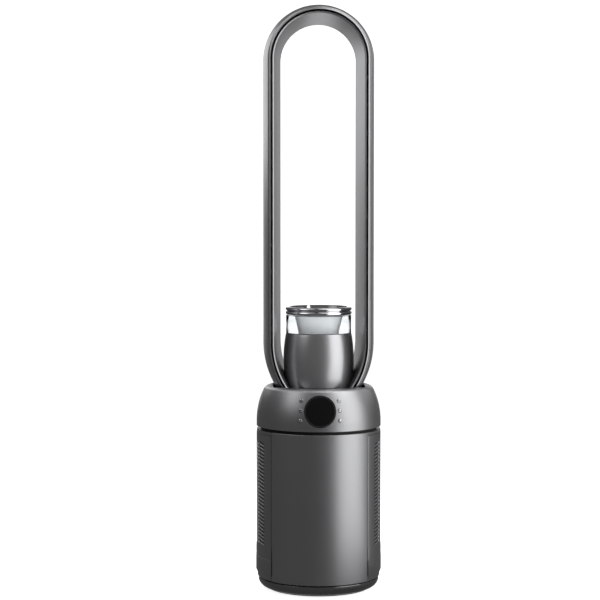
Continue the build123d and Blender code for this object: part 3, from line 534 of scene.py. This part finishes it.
# ---------------------------------------------------------------- finishes by slot
def make_finishes():
    """All finishes by the record's slot names."""
    look = bpy.context.scene.fan_finish
    metal, gloss = tuple(look.metal), look.gloss
    recipes = {
        "satin_gunmetal": (metallic_paint, metal, gloss),
        "liner_gunmetal": (metallic_paint, tuple(look.liner), gloss + 0.06),
        "grille_gunmetal": (metallic_paint, tuple(look.grille), gloss),
        "tank_metal": (metallic_paint, tuple(look.tank), gloss - 0.06, 0.06, 3e-6, 0.88),
        "foot_gunmetal": (metallic_paint, tint(metal, 0.72), 0.2, 0.05, 2e-6),
        "shadow_black": (moulded, (0.004, 0.004, 0.004), 0.7),
        "frame_black": (moulded, (0.018, 0.018, 0.019), 0.5),
        "inner_grey": (moulded, (0.09, 0.09, 0.095), 0.5),
        "display_black": (display_glass,),
        "key_silver": (metallic_paint, (0.42, 0.43, 0.44), 0.24, 0.05, 2e-6),
        "polished_chrome": (chrome, (0.62, 0.62, 0.64)),
        "clear_window": (tank_window,),
        "satin_white": (moulded, (0.80, 0.81, 0.82), 0.34, 0.02),
        "filter_paper": (pleated, (0.03, 0.03, 0.032)),
        "soft_rubber": (moulded, (0.02, 0.02, 0.02), 0.75, 0.12, 3e-5),
        "cast_weight": (cast, (0.12, 0.12, 0.12)),
        "bright_steel": (machined, (0.55, 0.55, 0.56), 0.3),
        "gear_white": (moulded, (0.76, 0.75, 0.70), 0.42, 0.03),
        "circuit_green": (circuit, (0.02, 0.13, 0.05)),
        "ceramic_disc": (moulded, (0.74, 0.73, 0.70), 0.35, 0.04),
    }
    return {slot: make(slot, *values) for slot, (make, *values) in recipes.items()}


FINISHES = {}
SLOT_OF = {part["node"]: part["material_slot"] for part in frame["record"]["subparts"]}


def dress(thing, slot, body, *nodes):
    """Give a new piece its finish and its body, and let it stand for frame nodes."""
    thing.data.materials.clear()
    thing.data.materials.append(FINISHES[slot])
    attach(thing, body)
    if nodes:
        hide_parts(*nodes)
    return thing


# ---------------------------------------------------------------- operators
class FAN_OT_stage(bpy.types.Operator):
    """Camera, pale floor, backdrop and soft studio light"""

    bl_idname = "fan.stage"
    bl_label = "Stage"

    # name, its setting and share of it, azimuth, then metres: away, height, width, tall
    lamps = (
        ("key softbox", "key_strength", 1.0, 60.0, 1.7, 0.90, 1.6, 1.7),
        ("right softbox", "key_strength", 0.3, 122.0, 1.7, 1.30, 1.0, 1.2),
        ("left softbox", "left_strength", 1.4, -56.0, 1.5, 1.20, 0.8, 0.8),
        ("rear left softbox", "left_strength", 1.4, -145.0, 1.6, 1.10, 0.9, 0.8),
        ("top softbox", "top_strength", 1.0, 68.0, 0.9, 2.1, 1.6, 1.6),
        ("top left softbox", "top_strength", 0.42, -85.0, 1.1, 2.1, 1.9, 1.6),
    )
    # name, first and last azimuth, then (distance, height) of its two rims in millimetres
    cloths = (
        ("cloth_round", -158.0, 158.0, (3400.0, 0.0), (3400.0, 4000.0)),
        ("cloth_over", -180.0, 180.0, (3400.0, 4000.0), (100.0, 4000.0)),
        ("cloth_back", 158.0, 202.0, (3400.0, 1500.0), (3400.0, 4000.0)),
        ("cloth_left", -168.0, 30.0, (88.0, 1.0), (3400.0, 1.0)),
        ("cloth_middle", 30.0, 86.0, (88.0, 1.0), (420.0, 1.0)),
        ("cloth_right", 86.0, 168.0, (88.0, 1.0), (3400.0, 1.0)),
    )

    def execute(self, context):
        scene = context.scene
        light = scene.fan_stage
        scene.view_settings.view_transform = "Standard"
        camera = bpy.data.objects.new("camera", bpy.data.cameras.new("camera"))
        scene.collection.objects.link(camera)
        scene.camera = camera
        camera.data.lens = 107.45
        camera.data.sensor_width = 36.0
        self.stand(camera, -1.5, 3.0, 0.642, Vector((-0.0313, 0.0, 0.4849)))

        world = bpy.data.worlds.new("room")
        world.use_nodes = True
        scene.world = world
        room = Surroundings(world)
        lit = room.blend(room.seen(), (light.room,) * 3, (1.0,) * 3)
        room.put(room.shader.inputs["Color"], lit)

        pale = tuple(light.floor_colour)
        far = 6000.0
        corner = far * np.array([[-1, -1], [1, -1], [1, 1], [-1, 1]])
        floor = solid("floor", [(np.c_[corner, np.zeros(4)], [range(4)])])
        self.paint(floor, "floor_paint", pale, light.floor_glow)
        wall = np.c_[corner[:, 0], np.full(4, far), (corner[:, 1] + far) / 2]
        backdrop = solid("backdrop", [(wall, [range(4)])])
        self.paint(backdrop, "backdrop_paint", pale, 1.0)
        self.hang_cloths(light.cloth)
        for name, setting, share, *placing in self.lamps:
            self.softbox(name, getattr(light, setting) * share, *placing)
        return {"FINISHED"}

    def stand(self, thing, azimuth, away, height, target):
        """Stand a camera or lamp round the fan, so many degrees from the front, and aim it."""
        angle = math.radians(azimuth)
        thing.location = (away * math.sin(angle), -away * math.cos(angle), height)
        thing.rotation_euler = (target - thing.location).to_track_quat("-Z", "Y").to_euler()

    def paint(self, piece, name, pale, glow):
        """Pale paint; eye, metal and glass also see it glow, and it lights nothing else."""
        coat = Finish(name, Roughness=0.9, Emission_Strength=1.0)
        coat.colour(coat.blend(coat.noise(2.0), tint(pale, 0.99), pale))
        lit = coat.blend(coat.seen(), (0.0,) * 3, (glow,) * 3)
        coat.put(coat.shader.inputs["Emission Color"], lit)
        piece.data.materials.append(coat.material)

    def hang_cloths(self, glow):
        """Dark studio cloths that only reflections see: round the camera's side, overhead, behind
        above the view, and on the floor. Each is a band of azimuths between two rims."""
        coat = Finish("dark_cloth", Roughness=1.0, Emission_Strength=1.0)
        coat.colour((0.0, 0.0, 0.0))
        coat.put(coat.shader.inputs["Emission Color"], (glow, glow, glow))
        for name, first, last, *rims in self.cloths:
            angle = np.radians(np.linspace(first, last, 49))[None, :]
            reach, height = np.array(rims).T[:, :, None]
            points = (reach * np.sin(angle), -reach * np.cos(angle), height + 0 * angle)
            piece = solid(name, [sheet(np.stack(points, -1))])
            piece.data.materials.append(coat.material)
            for kind in ("camera", "diffuse", "transmission", "volume_scatter", "shadow"):
                setattr(piece, f"visible_{kind}", False)

    def softbox(self, name, radiance, azimuth, away, height, width, tall):
        """One soft area lamp aimed at the fan; power = radiance * pi * area."""
        lamp = bpy.data.lights.new(name, "AREA")
        lamp.shape = "RECTANGLE"
        lamp.size, lamp.size_y = width, tall
        lamp.energy = radiance * math.pi * width * tall
        holder = bpy.data.objects.new(name, lamp)
        bpy.context.scene.collection.objects.link(holder)
        self.stand(holder, azimuth, away, height, Vector((0.0, 0.0, 0.45)))


class FAN_OT_inner_parts(bpy.types.Operator):
    """Finishes of every frame node that keeps its own shape"""

    bl_idname = "fan.inner_parts"
    bl_label = "Inner parts"

    def execute(self, context):
        FINISHES.update(make_finishes())
        for node, thing in NODES.items():
            thing.data.materials.clear()
            thing.data.materials.append(FINISHES[SLOT_OF[node]])
        return {"FINISHED"}


class FAN_OT_foot(bpy.types.Operator):
    """Glossy foot bowl"""

    bl_idname = "fan.foot"
    bl_label = "Foot"

    def execute(self, context):
        foot = solid("foot_bowl", [turned(self.outline(), 240)])
        dress(foot, "foot_gunmetal", "base", "foot_dish")
        return {"FINISHED"}

    def outline(self):
        """One arc, level where it leaves the floor, up to the shoulder; then rim and inside."""
        floor, reach, low, shoulder = 86.5, 101.0, 3.5, 15.0
        wide, tall = reach - floor, shoulder - low
        curve = (wide**2 + tall**2) / (2 * tall)
        lean = math.asin(wide / curve) * np.linspace(0, 1, 25)[:, None]
        bowl = np.hstack((floor + curve * np.sin(lean), low + curve * (1 - np.cos(lean))))
        rim = rounded(
            [(reach, 16.5), (reach, 20), (97, 20), (97, 16), (81.5, 16), (81.5, 13.5), (92, 13.5),
             (floor, 6), (12, 6), (12, low)],
            [0, 1.0, 0.4, 0, 0, 0, 0, 0, 0, 0],
        )
        return np.vstack((bowl, rim))


class FAN_OT_housing(bpy.types.Operator):
    """Curved front and rear panels, side skirts and the top collar"""

    bl_idname = "fan.housing"
    bl_label = "Housing"

    def execute(self, context):
        edge = context.scene.fan_shape.edge
        inner = PANEL_RADIUS - WALL
        wall = ring_outline(PANEL_RADIUS, inner, BODY_LOW, BODY_HIGH)
        front = solid("front_shell", [end_band(wall, -1, SEAM - SEAM_GAP, 120)])
        dress(bevelled(front, edge), "satin_gunmetal", "tower", "front_panel")
        rear = smooth_copy("rear_panel", "rear_shell", axial, 12)
        dress(rear, "satin_gunmetal", "tower", "rear_panel")
        skirt = self.skirt_outline()
        for sign, side in ((-1, "left"), (1, "right")):
            lower = solid(f"{side}_skirt_shell", [side_band(skirt, sign, SEAM + SEAM_GAP, 100)])
            dress(bevelled(lower, 0.5), "satin_gunmetal", "tower", f"{side}_skirt")
        collar = ring_outline(PANEL_RADIUS, inner, COLLAR_LOW, BODY_HIGH)
        bands = [side_band(collar, sign, SEAM + SEAM_GAP) for sign in (-1, 1)]
        ring = turned(ring_outline(inner, 97.0, COLLAR_LOW, BODY_HIGH))
        upper = solid("collar_shell", [*bands, ring])
        dress(bevelled(upper, 0.4, 2), "satin_gunmetal", "tower", "top_collar")
        # painted shade: black blocks that darken the seam gaps low on the body
        dress(solid("seam_shade_blocks", self.dark_seam_blocks()), "frame_black", "tower")
        return {"FINISHED"}

    def skirt_outline(self):
        """Wall that widens from its foot to the skirt's radius, with a flange inside its top."""
        foot, back, flange, wall = 102.6, 99.5, 98.5, 102.9
        return np.array(
            [(back, BODY_LOW), (foot, BODY_LOW), (foot, 26.5), (SKIRT_RADIUS, 33.0),
             (SKIRT_RADIUS, SKIRT_HIGH), (flange, SKIRT_HIGH), (flange, SKIRT_HIGH - WALL),
             (wall, SKIRT_HIGH - WALL), (wall, 33.0), (back, 27.0)]
        )

    def dark_seam_blocks(self):
        """Four small black blocks across the seam planes, below the filter frames: dark pieces put
        behind the seam gaps so that they show as shade.
        """
        size = np.array([2.6, 2.0, 9.2])
        cube = np.indices((2, 2, 2)).reshape(3, 8).T * size
        sides = [(0, 1, 3, 2), (4, 6, 7, 5), (0, 4, 5, 1), (2, 3, 7, 6), (0, 2, 6, 4), (1, 5, 7, 3)]
        corners = [(x, y, 49.0) for x in (78.6, -81.2) for y in (-55.0, 53.0)]
        return [(cube + corner, sides) for corner in corners]


class FAN_OT_side_covers(bpy.types.Operator):
    """Slotted side covers: columns of slanted slots with soft rims in a plain border"""

    bl_idname = "fan.side_covers"
    bl_label = "Side covers"

    rows = 28
    columns = 4
    low_margin, top_margin = 20.5, 11.5  # plain border under and over the slots
    side_margin = 10.5  # the border beside the slots, in degrees
    slot_half = 1.5  # half a slot's height
    rise = 3.0  # of a slot along its length
    bar = 3.4  # between two columns
    roll = 1.2  # of the rim round each slot
    round_off = 0.8  # of the cover's edges along the seams

    def execute(self, context):
        # painted shade: a thin black sheet just behind each cover's slots, so that they show dark
        cloth = ring_outline(101.6, 101.0, 63.0, 259.5)
        for sign, side in ((-1, "left"), (1, "right")):
            cover = solid(f"{side}_grille", self.cover(sign), sharp=50)
            dress(cover, "grille_gunmetal", f"{side}_cover", f"{side}_cover")
            net = solid(f"{side}_lint_net", [side_band(cloth, sign, SEAM + 1.0)])
            dress(net, "frame_black", f"{side}_cover")
        return {"FINISHED"}

    def cell(self, width, pitch):
        """Rings of 12 points from a cell's border to its slot, as (ring, point, along/up/depth).

        The border is a zigzag that follows the slant over the slot and returns beside it, so
        that cells join on all sides. The slot is a capsule sheared by the slant, and its rim
        rolls in over a quarter circle, so that the bars between slots are half round."""
        half = self.slot_half
        half_length = (width - self.bar) / 2
        slope = self.rise / 2 / half_length
        zig = np.array([-width / 2, -half_length, 0, half_length, width / 2])
        lift = np.array([0, -self.rise / 2, 0, self.rise / 2, 0])
        border = np.vstack(
            (
                np.c_[zig, lift - pitch / 2],
                [(width / 2, 0)],
                np.c_[zig[::-1], lift[::-1] + pitch / 2],
                [(-width / 2, 0)],
            )
        )
        turns = np.radians([225, 270, 270, 270, 315, 0, 45, 90, 90, 90, 135, 180])
        shift = np.array([-1, -1, 0, 1, 1, 1, 1, 1, 0, -1, -1, -1]) * (half_length - half)

        def rim(radius):
            along = shift + radius * np.cos(turns)
            return np.c_[along, radius * np.sin(turns) + slope * along]

        rings = [(border, 0.0)]
        for turn in (0.0, math.pi / 4, math.pi / 2):
            gap, depth = 1 - math.sin(turn), 1 - math.cos(turn)
            rings.append((rim(half + self.roll * gap), self.roll * depth))
        rings += [(rim(half), WALL), (border, WALL)]
        return np.stack([np.c_[flat, np.full(12, depth)] for flat, depth in rings])

    def cover(self, sign):
        """Cells repeated up and round the cover, the plain border, and the four thin edges."""
        low, high = COVER_LOW + self.low_margin, COVER_HIGH - self.top_margin
        pitch = (high - low - self.rise) / self.rows
        field_low = low + self.rise / 2
        field_high = field_low + self.rows * pitch
        span = math.pi - 2 * (math.asin(SEAM / COVER_RADIUS) + math.radians(self.side_margin))
        width = span / self.columns * COVER_RADIUS
        cell = self.cell(width, pitch)
        columns = (np.arange(self.columns) - (self.columns - 1) / 2) * width
        rows = field_low + (np.arange(self.rows) + 0.5) * pitch
        sheets = [self.field(cell, columns, rows, sign)]

        zig = (cell[0, :4, 0][None, :] + columns[:, None]).ravel()
        zig = np.append(zig, -zig[0])
        lift = np.append(np.tile(cell[0, :4, 1] + pitch / 2, self.columns), 0)
        _, sill_low, sill_high = COVER_SILL
        below = np.array([COVER_LOW, sill_low - 4, sill_low, (sill_low + sill_high) / 2])
        beside = np.linspace(field_low, field_high, 2 * self.rows + 1)
        heights = np.concatenate((below, beside, [COVER_HIGH]))
        inner_edge = span / 2 * COVER_RADIUS
        edges = []
        for depth in (0.0, WALL):
            foot = [np.c_[zig, zig * 0 + level] for level in below]
            foot.append(np.c_[zig, field_low + lift])
            top = [np.c_[zig, field_high + lift], np.c_[zig, zig * 0 + COVER_HIGH]]
            for flat in (np.stack(foot), np.stack(top)):
                sheets.append(sheet(self.wrapped(flat[..., 0], flat[..., 1], depth, sign)))
            along, sunk = self.border(inner_edge, depth)
            for end in (-1, 1):
                flat = (end * along[:, None], heights[None, :], sunk[:, None])
                sheets.append(sheet(self.wrapped(*flat, sign)))
            right = np.linspace(inner_edge, self.reach(depth), 9)
            edges.append(np.concatenate((-right[::-1], zig[1:-1], right)))
        for level in (COVER_LOW, COVER_HIGH):
            sheets.append(self.edge(*edges, level, 0.0, sign))
        for end in (-1, 1):
            ends = (np.full(len(heights), end * self.reach(depth)) for depth in (0.0, WALL))
            sheets.append(self.edge(*ends, heights, self.round_off, sign))
        return sheets

    def field(self, cell, columns, rows, sign):
        """The cell repeated over all columns and rows."""
        along = cell[None, None, ..., 0] + columns[None, :, None, None]
        up = cell[None, None, ..., 1] + rows[:, None, None, None]
        points = self.wrapped(along, up, cell[None, None, ..., 2], sign).reshape(-1, 3)
        one = grid_faces(*cell.shape[:2], False, True)
        start = np.arange(len(rows) * len(columns)) * cell.shape[0] * cell.shape[1]
        return points, (one[None] + start[:, None, None]).reshape(-1, 4)

    def reach(self, depth):
        """How far along the flat pattern the seam lies at a depth."""
        return math.acos((SEAM + SEAM_GAP) / (COVER_RADIUS - depth)) * COVER_RADIUS

    def border(self, inner_edge, depth):
        """Along and depth of the strip beside the slots; the outer skin ends in a rounded edge."""
        round_off = self.round_off if depth == 0 else 0.0
        turn = np.linspace(0, math.pi / 2, 5)[1:] if depth == 0 else np.zeros(1)
        flat = np.linspace(inner_edge, self.reach(depth) - round_off, 8)
        along = np.concatenate((flat, flat[-1] + round_off * np.sin(turn)))
        return along, np.concatenate((0 * flat, round_off * (1 - np.cos(turn)))) + depth

    def wrapped(self, along, up, depth, sign):
        """Bend the flat pattern round the fan: along becomes an angle, depth a smaller radius.

        The outer skin swells smoothly to the sill below the slots."""
        proud, low, high = COVER_SILL
        share = np.clip((high - up) / (high - low), 0, 1)
        swell = np.where(depth < WALL, proud * share**2 * (3 - 2 * share), 0)
        along, up, radius = np.broadcast_arrays(along, up, COVER_RADIUS - depth + swell)
        plain, reach = (np.arccos((SEAM + SEAM_GAP) / ring) for ring in (radius - swell, radius))
        angle = np.clip(along / COVER_RADIUS, -plain, plain) * reach / plain
        return np.stack((sign * radius * np.cos(angle), radius * np.sin(angle), up), -1)

    def edge(self, outer, inner, up, depth, sign):
        """Narrow face from the outer skin, at a depth, to the inner skin."""
        rows = (self.wrapped(outer, up, depth, sign), self.wrapped(inner, up, WALL, sign))
        return sheet(np.stack(rows))


class FAN_OT_head(bpy.types.Operator):
    """Head shell, display window and the six keys"""

    bl_idname = "fan.head"
    bl_label = "Head"

    def execute(self, context):
        head = smooth_copy("head_shell", "head_housing", head_normal, 14)
        dress(head, "satin_gunmetal", "tower", "head_shell")
        dress(self.display(), "display_black", "tower", "display_lens")
        for sign, side in ((-1, "left"), (1, "right")):
            for level, height in KEY_HEIGHTS.items():
                node = f"{side}_{level}_key"
                dress(self.key(node, sign, height), "key_silver", node, node)
        return {"FINISHED"}

    def display(self):
        """Round window that follows the head's curve a little proud of it, with a rolled rim.

        Rings of a disc in the x-z plane are laid on the head: y is minus the root of the
        head's radius squared less x squared."""
        height, radius = DISPLAY
        proud, roll, back = 0.4, 0.7, 98.0
        flat = np.linspace(0.02, radius - roll, 18)
        lean = np.linspace(0.3, math.pi / 2, 5)
        spread = np.concatenate((flat, radius - roll * (1 - np.sin(lean))))
        sink = np.concatenate((0 * flat, roll * (1 - np.cos(lean))))
        turn = np.linspace(0, 2 * math.pi, 96, endpoint=False)
        x = spread[:, None] * np.cos(turn)
        z = height + spread[:, None] * np.sin(turn)
        y = -np.sqrt((head_radius(z) + proud - sink[:, None]) ** 2 - x**2)
        front = np.stack((x, y, z), -1)
        rear = front[-1] * (1, 0, 1) + (0, -back, 0)
        return solid("display_window", [carried(np.concatenate((front, rear[None])))], sharp=50)

    def key(self, name, sign, height):
        """Key cap turned about its own axis: a dome with a fine ring groove."""
        azimuth = math.asin(KEY_OFFSET / HEAD_RADIUS)
        surface = float(head_radius(np.array(height)))
        out = np.array([sign * math.sin(azimuth), -math.cos(azimuth), 0.0])
        across, upright = np.array([-out[1], out[0], 0.0]), np.array([0.0, 0.0, 1.0])
        tail = 13.2
        radius = np.array([0.02, 0.8, 1.35, 1.55, 1.75, 2.2, 2.7, 3.0, 3.15, 3.2, 3.2])
        proud = np.array([0.9, 0.88, 0.84, 0.62, 0.84, 0.78, 0.62, 0.42, 0.2, 0.0, -tail])
        turn = np.linspace(0, 2 * math.pi, 40, endpoint=False)[:, None]
        circle = np.cos(turn) * across + np.sin(turn) * upright
        middle = (surface + proud)[:, None] * out + height * upright
        rings = middle[:, None] + radius[:, None, None] * circle
        return solid(f"{name}_cap", [carried(rings)], sharp=60)


class FAN_OT_air_loop(bpy.types.Operator):
    """Air loop: outer shell and liner with the slot between their lips"""

    bl_idname = "fan.air_loop"
    bl_label = "Air loop"

    def execute(self, context):
        shape = context.scene.fan_shape
        outer = self.path(self.shell_outline(shape.lip), shape.arch_steps)
        shell = solid("loop_housing", [carried(outer)], sharp=32)
        dress(shell, "satin_gunmetal", "tower", "loop_shell")
        inner = self.path(self.liner_outline(shape.lip), shape.arch_steps)
        liner = solid("loop_inner_wall", [carried(self.bay(inner))], sharp=32)
        dress(liner, "liner_gunmetal", "tower", "loop_liner")
        return {"FINISHED"}

    def path(self, outline, arch_steps):
        """Carry an outline of (half width, depth) round the loop.

        The right leg's foot turns about the bend's centre until it meets the head's deck, the
        leg is plumb, and the arch is half a turn about the loop's middle; the left mirrors it."""
        wide, deep = outline[:, 0], outline[:, 1]
        arm = wide - LOOP_BEND_CENTRE
        lean = np.arcsin((LOOP_BEND - LOOP_FOOT) / arm) * np.linspace(1, 0, 41)[:, None]
        foot = (
            LOOP_BEND_CENTRE + arm * np.cos(lean),
            deep + 0 * lean,
            LOOP_BEND - arm * np.sin(lean),
        )
        level = np.linspace(LOOP_BEND, LOOP_ARC, 25)[1:, None]
        leg = (wide + 0 * level, deep + 0 * level, level + 0 * wide)
        turn = np.linspace(0, math.pi, arch_steps + 1)[1:-1, None]
        arch = (wide * np.cos(turn), deep + 0 * turn, LOOP_ARC + wide * np.sin(turn))
        right = np.concatenate((np.stack(foot, -1), np.stack(leg, -1)))
        left = (right * (-1, 1, 1))[::-1]
        return np.concatenate((right, np.stack(arch, -1), left))

    def shell_outline(self, lip):
        """Front lip, bowed flank, widest line, round back and the inside one wall further in."""
        wide, widest, skin = 93.0, 12.0, 2.2
        share = np.linspace(0.06, 1, 16)[1:]
        flank = np.c_[wide - 9.5 * share**2, widest - 60.0 * share][::-1]
        nose = rounded(
            [(80.5, -41.0), (80.5, LOOP_FRONT), (82.7, -47.0), (84.4, -44.4), tuple(flank[1])],
            [0, lip, 2.6, 3.2, 0],
            6,
        )
        back = rounded(
            [(wide, widest), (wide, LOOP_BACK), (63.3, LOOP_BACK), (63.9, 43.6)],
            [0, 13.0, 1.6, 0],
            10,
        )
        inner = wide - skin
        inside = rounded(
            [(66.2, 43.6), (66.0, LOOP_BACK - skin), (inner, LOOP_BACK - skin), (inner, widest)],
            [0, 0, 10.8, 0],
            8,
        )
        inner_flank = np.c_[inner - 8.6 * share**2, widest - 57.0 * share]
        return np.vstack((nose[:-1], flank[1:], back, inside, inner_flank))

    def liner_outline(self, lip):
        """Inner lip, straight tapered wall to the back, and the inside one wall further out."""
        front = [(77.1, -41.0), (77.1, LOOP_FRONT), (74.7, -46.3)]
        back = [(63.9, 43.4), (66.1, 43.4), (77.0, -44.0)]
        return rounded([*front, *back], [0, lip, 0.8, 0.3, 0, 0], 5)

    def bay(self, points):
        """Push the liner outwards to the tank's bay: half width no less than the bay's circle.

        A smooth maximum of the two keeps the crease between them soft."""
        bay_high, softness = LOOP_BEND + 60, 1.0
        across, depth, height = np.moveaxis(points, -1, 0)
        circle = np.sqrt(BAY_RADIUS**2 - depth**2)
        wide = np.abs(across)
        pushed = (wide + circle + np.sqrt((wide - circle) ** 2 + softness)) / 2
        pushed = np.sign(across) * np.maximum(pushed, wide)
        return np.stack((np.where(height < bay_high, pushed, across), depth, height), -1)


class FAN_OT_mist_tank(bpy.types.Operator):
    """Mist tank: metal cup, clear band, flared chimney and polished lid"""

    bl_idname = "fan.mist_tank"
    bl_label = "Mist tank"

    def execute(self, context):
        cup = solid("tank_bowl", [turned(self.cup_outline(), 200)])
        dress(cup, "tank_metal", "tank", "tank_cup")
        band = ring_outline(TANK_RADIUS, TANK_RADIUS - WALL, WINDOW_LOW, WINDOW_HIGH)
        band = rounded(band, [0.3] * 4, 2)
        window = solid("tank_window", [turned(band, 200)])
        dress(window, "clear_window", "tank", "water_window")
        chimney = solid("mist_funnel", [turned(self.chimney_outline(), 160)])
        dress(chimney, "satin_white", "tank", "mist_chimney")
        lid = solid("tank_collar", [turned(self.lid_outline(), 240)], sharp=40)
        dress(lid, "polished_chrome", "tank_lid", "tank_lid")
        return {"FINISHED"}

    def arc_through(self, low, middle, high, steps):
        """Circular arc through three (radius, height) points."""
        a, b, c = (complex(*p) for p in (low, middle, high))
        w = (c - a) / (b - a)
        centre = (b - a) * (w - abs(w) ** 2) / (2j * w.imag) + a
        start, finish = np.angle(a - centre), np.angle(c - centre)
        turn = np.linspace(start, finish, steps)
        ring = centre + abs(a - centre) * np.exp(1j * turn)
        return np.c_[ring.real, ring.imag]

    def cup_outline(self):
        """Slightly barrelled wall, its inside, and the floor round the chimney's foot."""
        foot, belly, neck, tube = 54.0, 58.8, TANK_RADIUS, 22.0
        height = 374.0
        outside = self.arc_through((foot, TANK_BOTTOM), (belly, height), (neck, WINDOW_LOW), 40)
        inside = self.arc_through(
            (foot - WALL, TANK_FLOOR), (belly - WALL, height), (neck - WALL, WINDOW_LOW), 30
        )
        floor = [(tube, TANK_FLOOR), (tube, TANK_BOTTOM), (foot - 1.2, TANK_BOTTOM)]
        floor.append((foot - 0.4, TANK_BOTTOM + 0.25))
        rim = [(neck + 0.2, WINDOW_LOW - 1.5), (neck, WINDOW_LOW), (neck - WALL, WINDOW_LOW)]
        return np.vstack((outside[1:-1], rounded(rim, [0, 0.5, 0], 4)[:-1], inside[::-1], floor))

    def chimney_outline(self):
        """Straight tube that flares in one sweep to a trumpet mouth, and its inside."""
        tube, throat, skin, throat_height = 22.0, 34.0, 1.8, 434.0
        height = np.linspace(TANK_FLOOR, CHIMNEY_HIGH, 60)
        low = np.clip((height - TANK_FLOOR) / (throat_height - TANK_FLOOR), 0, 1)
        high = np.clip((height - throat_height) / (CHIMNEY_HIGH - throat_height), 0, 1)
        radius = tube + (throat - tube) * (0.15 * low + 0.35 * low**2 + 0.5 * low**3)
        radius = radius + 10.0 * (0.66 * high + 0.34 * high**2)
        outside = np.c_[radius, height]
        inside = np.c_[radius - skin, height][::-1]
        mouth = [(radius[-1] - 0.2, CHIMNEY_HIGH), (radius[-1] - 1.6, CHIMNEY_HIGH)]
        foot = [(tube - skin, TANK_BOTTOM), (tube, TANK_BOTTOM)]
        return np.vstack((outside, mouth, inside[1:], foot))

    def lid_outline(self):
        """Two half-round beads one above the other, and a sloping inside."""
        out, inner, bead, half_tall = 55.6, 44.5, 2.9, 3.1
        middle = (LID_LOW + LID_HIGH) / 2
        turn = np.linspace(-math.pi / 2, math.pi / 2, 15)
        lower, upper = (
            np.c_[out - bead + bead * np.cos(turn), (end + middle) / 2 + half_tall * np.sin(turn)]
            for end in (LID_LOW, LID_HIGH)
        )
        lower[0], upper[-1] = (out - 3.0, LID_LOW), (out - 3.0, LID_HIGH)
        inside = [(50.0, LID_HIGH), (49.2, LID_HIGH - 0.6), (48.4, middle), (inner, middle - 1.5)]
        return np.vstack((lower, upper, inside, [(inner, LID_LOW)]))


class FAN_PT_panel(bpy.types.Panel):
    """Buttons and settings of the fan"""

    bl_label = "Bladeless fan"
    bl_space_type = "VIEW_3D"
    bl_region_type = "UI"
    bl_category = "Fan"

    def draw(self, context):
        for operator in STEPS:
            self.layout.operator(operator.bl_idname)
        for group in ("fan_finish", "fan_shape", "fan_stage"):
            settings = getattr(context.scene, group)
            box = self.layout.box()
            for setting in settings.__annotations__:
                box.prop(settings, setting)


STEPS = (
    FAN_OT_stage,
    FAN_OT_inner_parts,
    FAN_OT_foot,
    FAN_OT_housing,
    FAN_OT_side_covers,
    FAN_OT_head,
    FAN_OT_air_loop,
    FAN_OT_mist_tank,
)
GROUPS = {
    "fan_stage": FanStageSettings,
    "fan_finish": FanFinishSettings,
    "fan_shape": FanShapeSettings,
}


def register():
    for group in GROUPS.values():
        bpy.utils.register_class(group)
    for name, group in GROUPS.items():
        setattr(bpy.types.Scene, name, bpy.props.PointerProperty(type=group))
    for step in (*STEPS, FAN_PT_panel):
        bpy.utils.register_class(step)


def unregister():
    for step in reversed((*STEPS, FAN_PT_panel)):
        bpy.utils.unregister_class(step)
    for name, group in GROUPS.items():
        delattr(bpy.types.Scene, name)
        bpy.utils.unregister_class(group)


def main():
    register()
    bpy.ops.fan.stage()
    bpy.ops.fan.inner_parts()
    bpy.ops.fan.foot()
    bpy.ops.fan.housing()
    bpy.ops.fan.side_covers()
    bpy.ops.fan.head()
    bpy.ops.fan.air_loop()
    bpy.ops.fan.mist_tank()


if __name__ == "__main__":
    main()
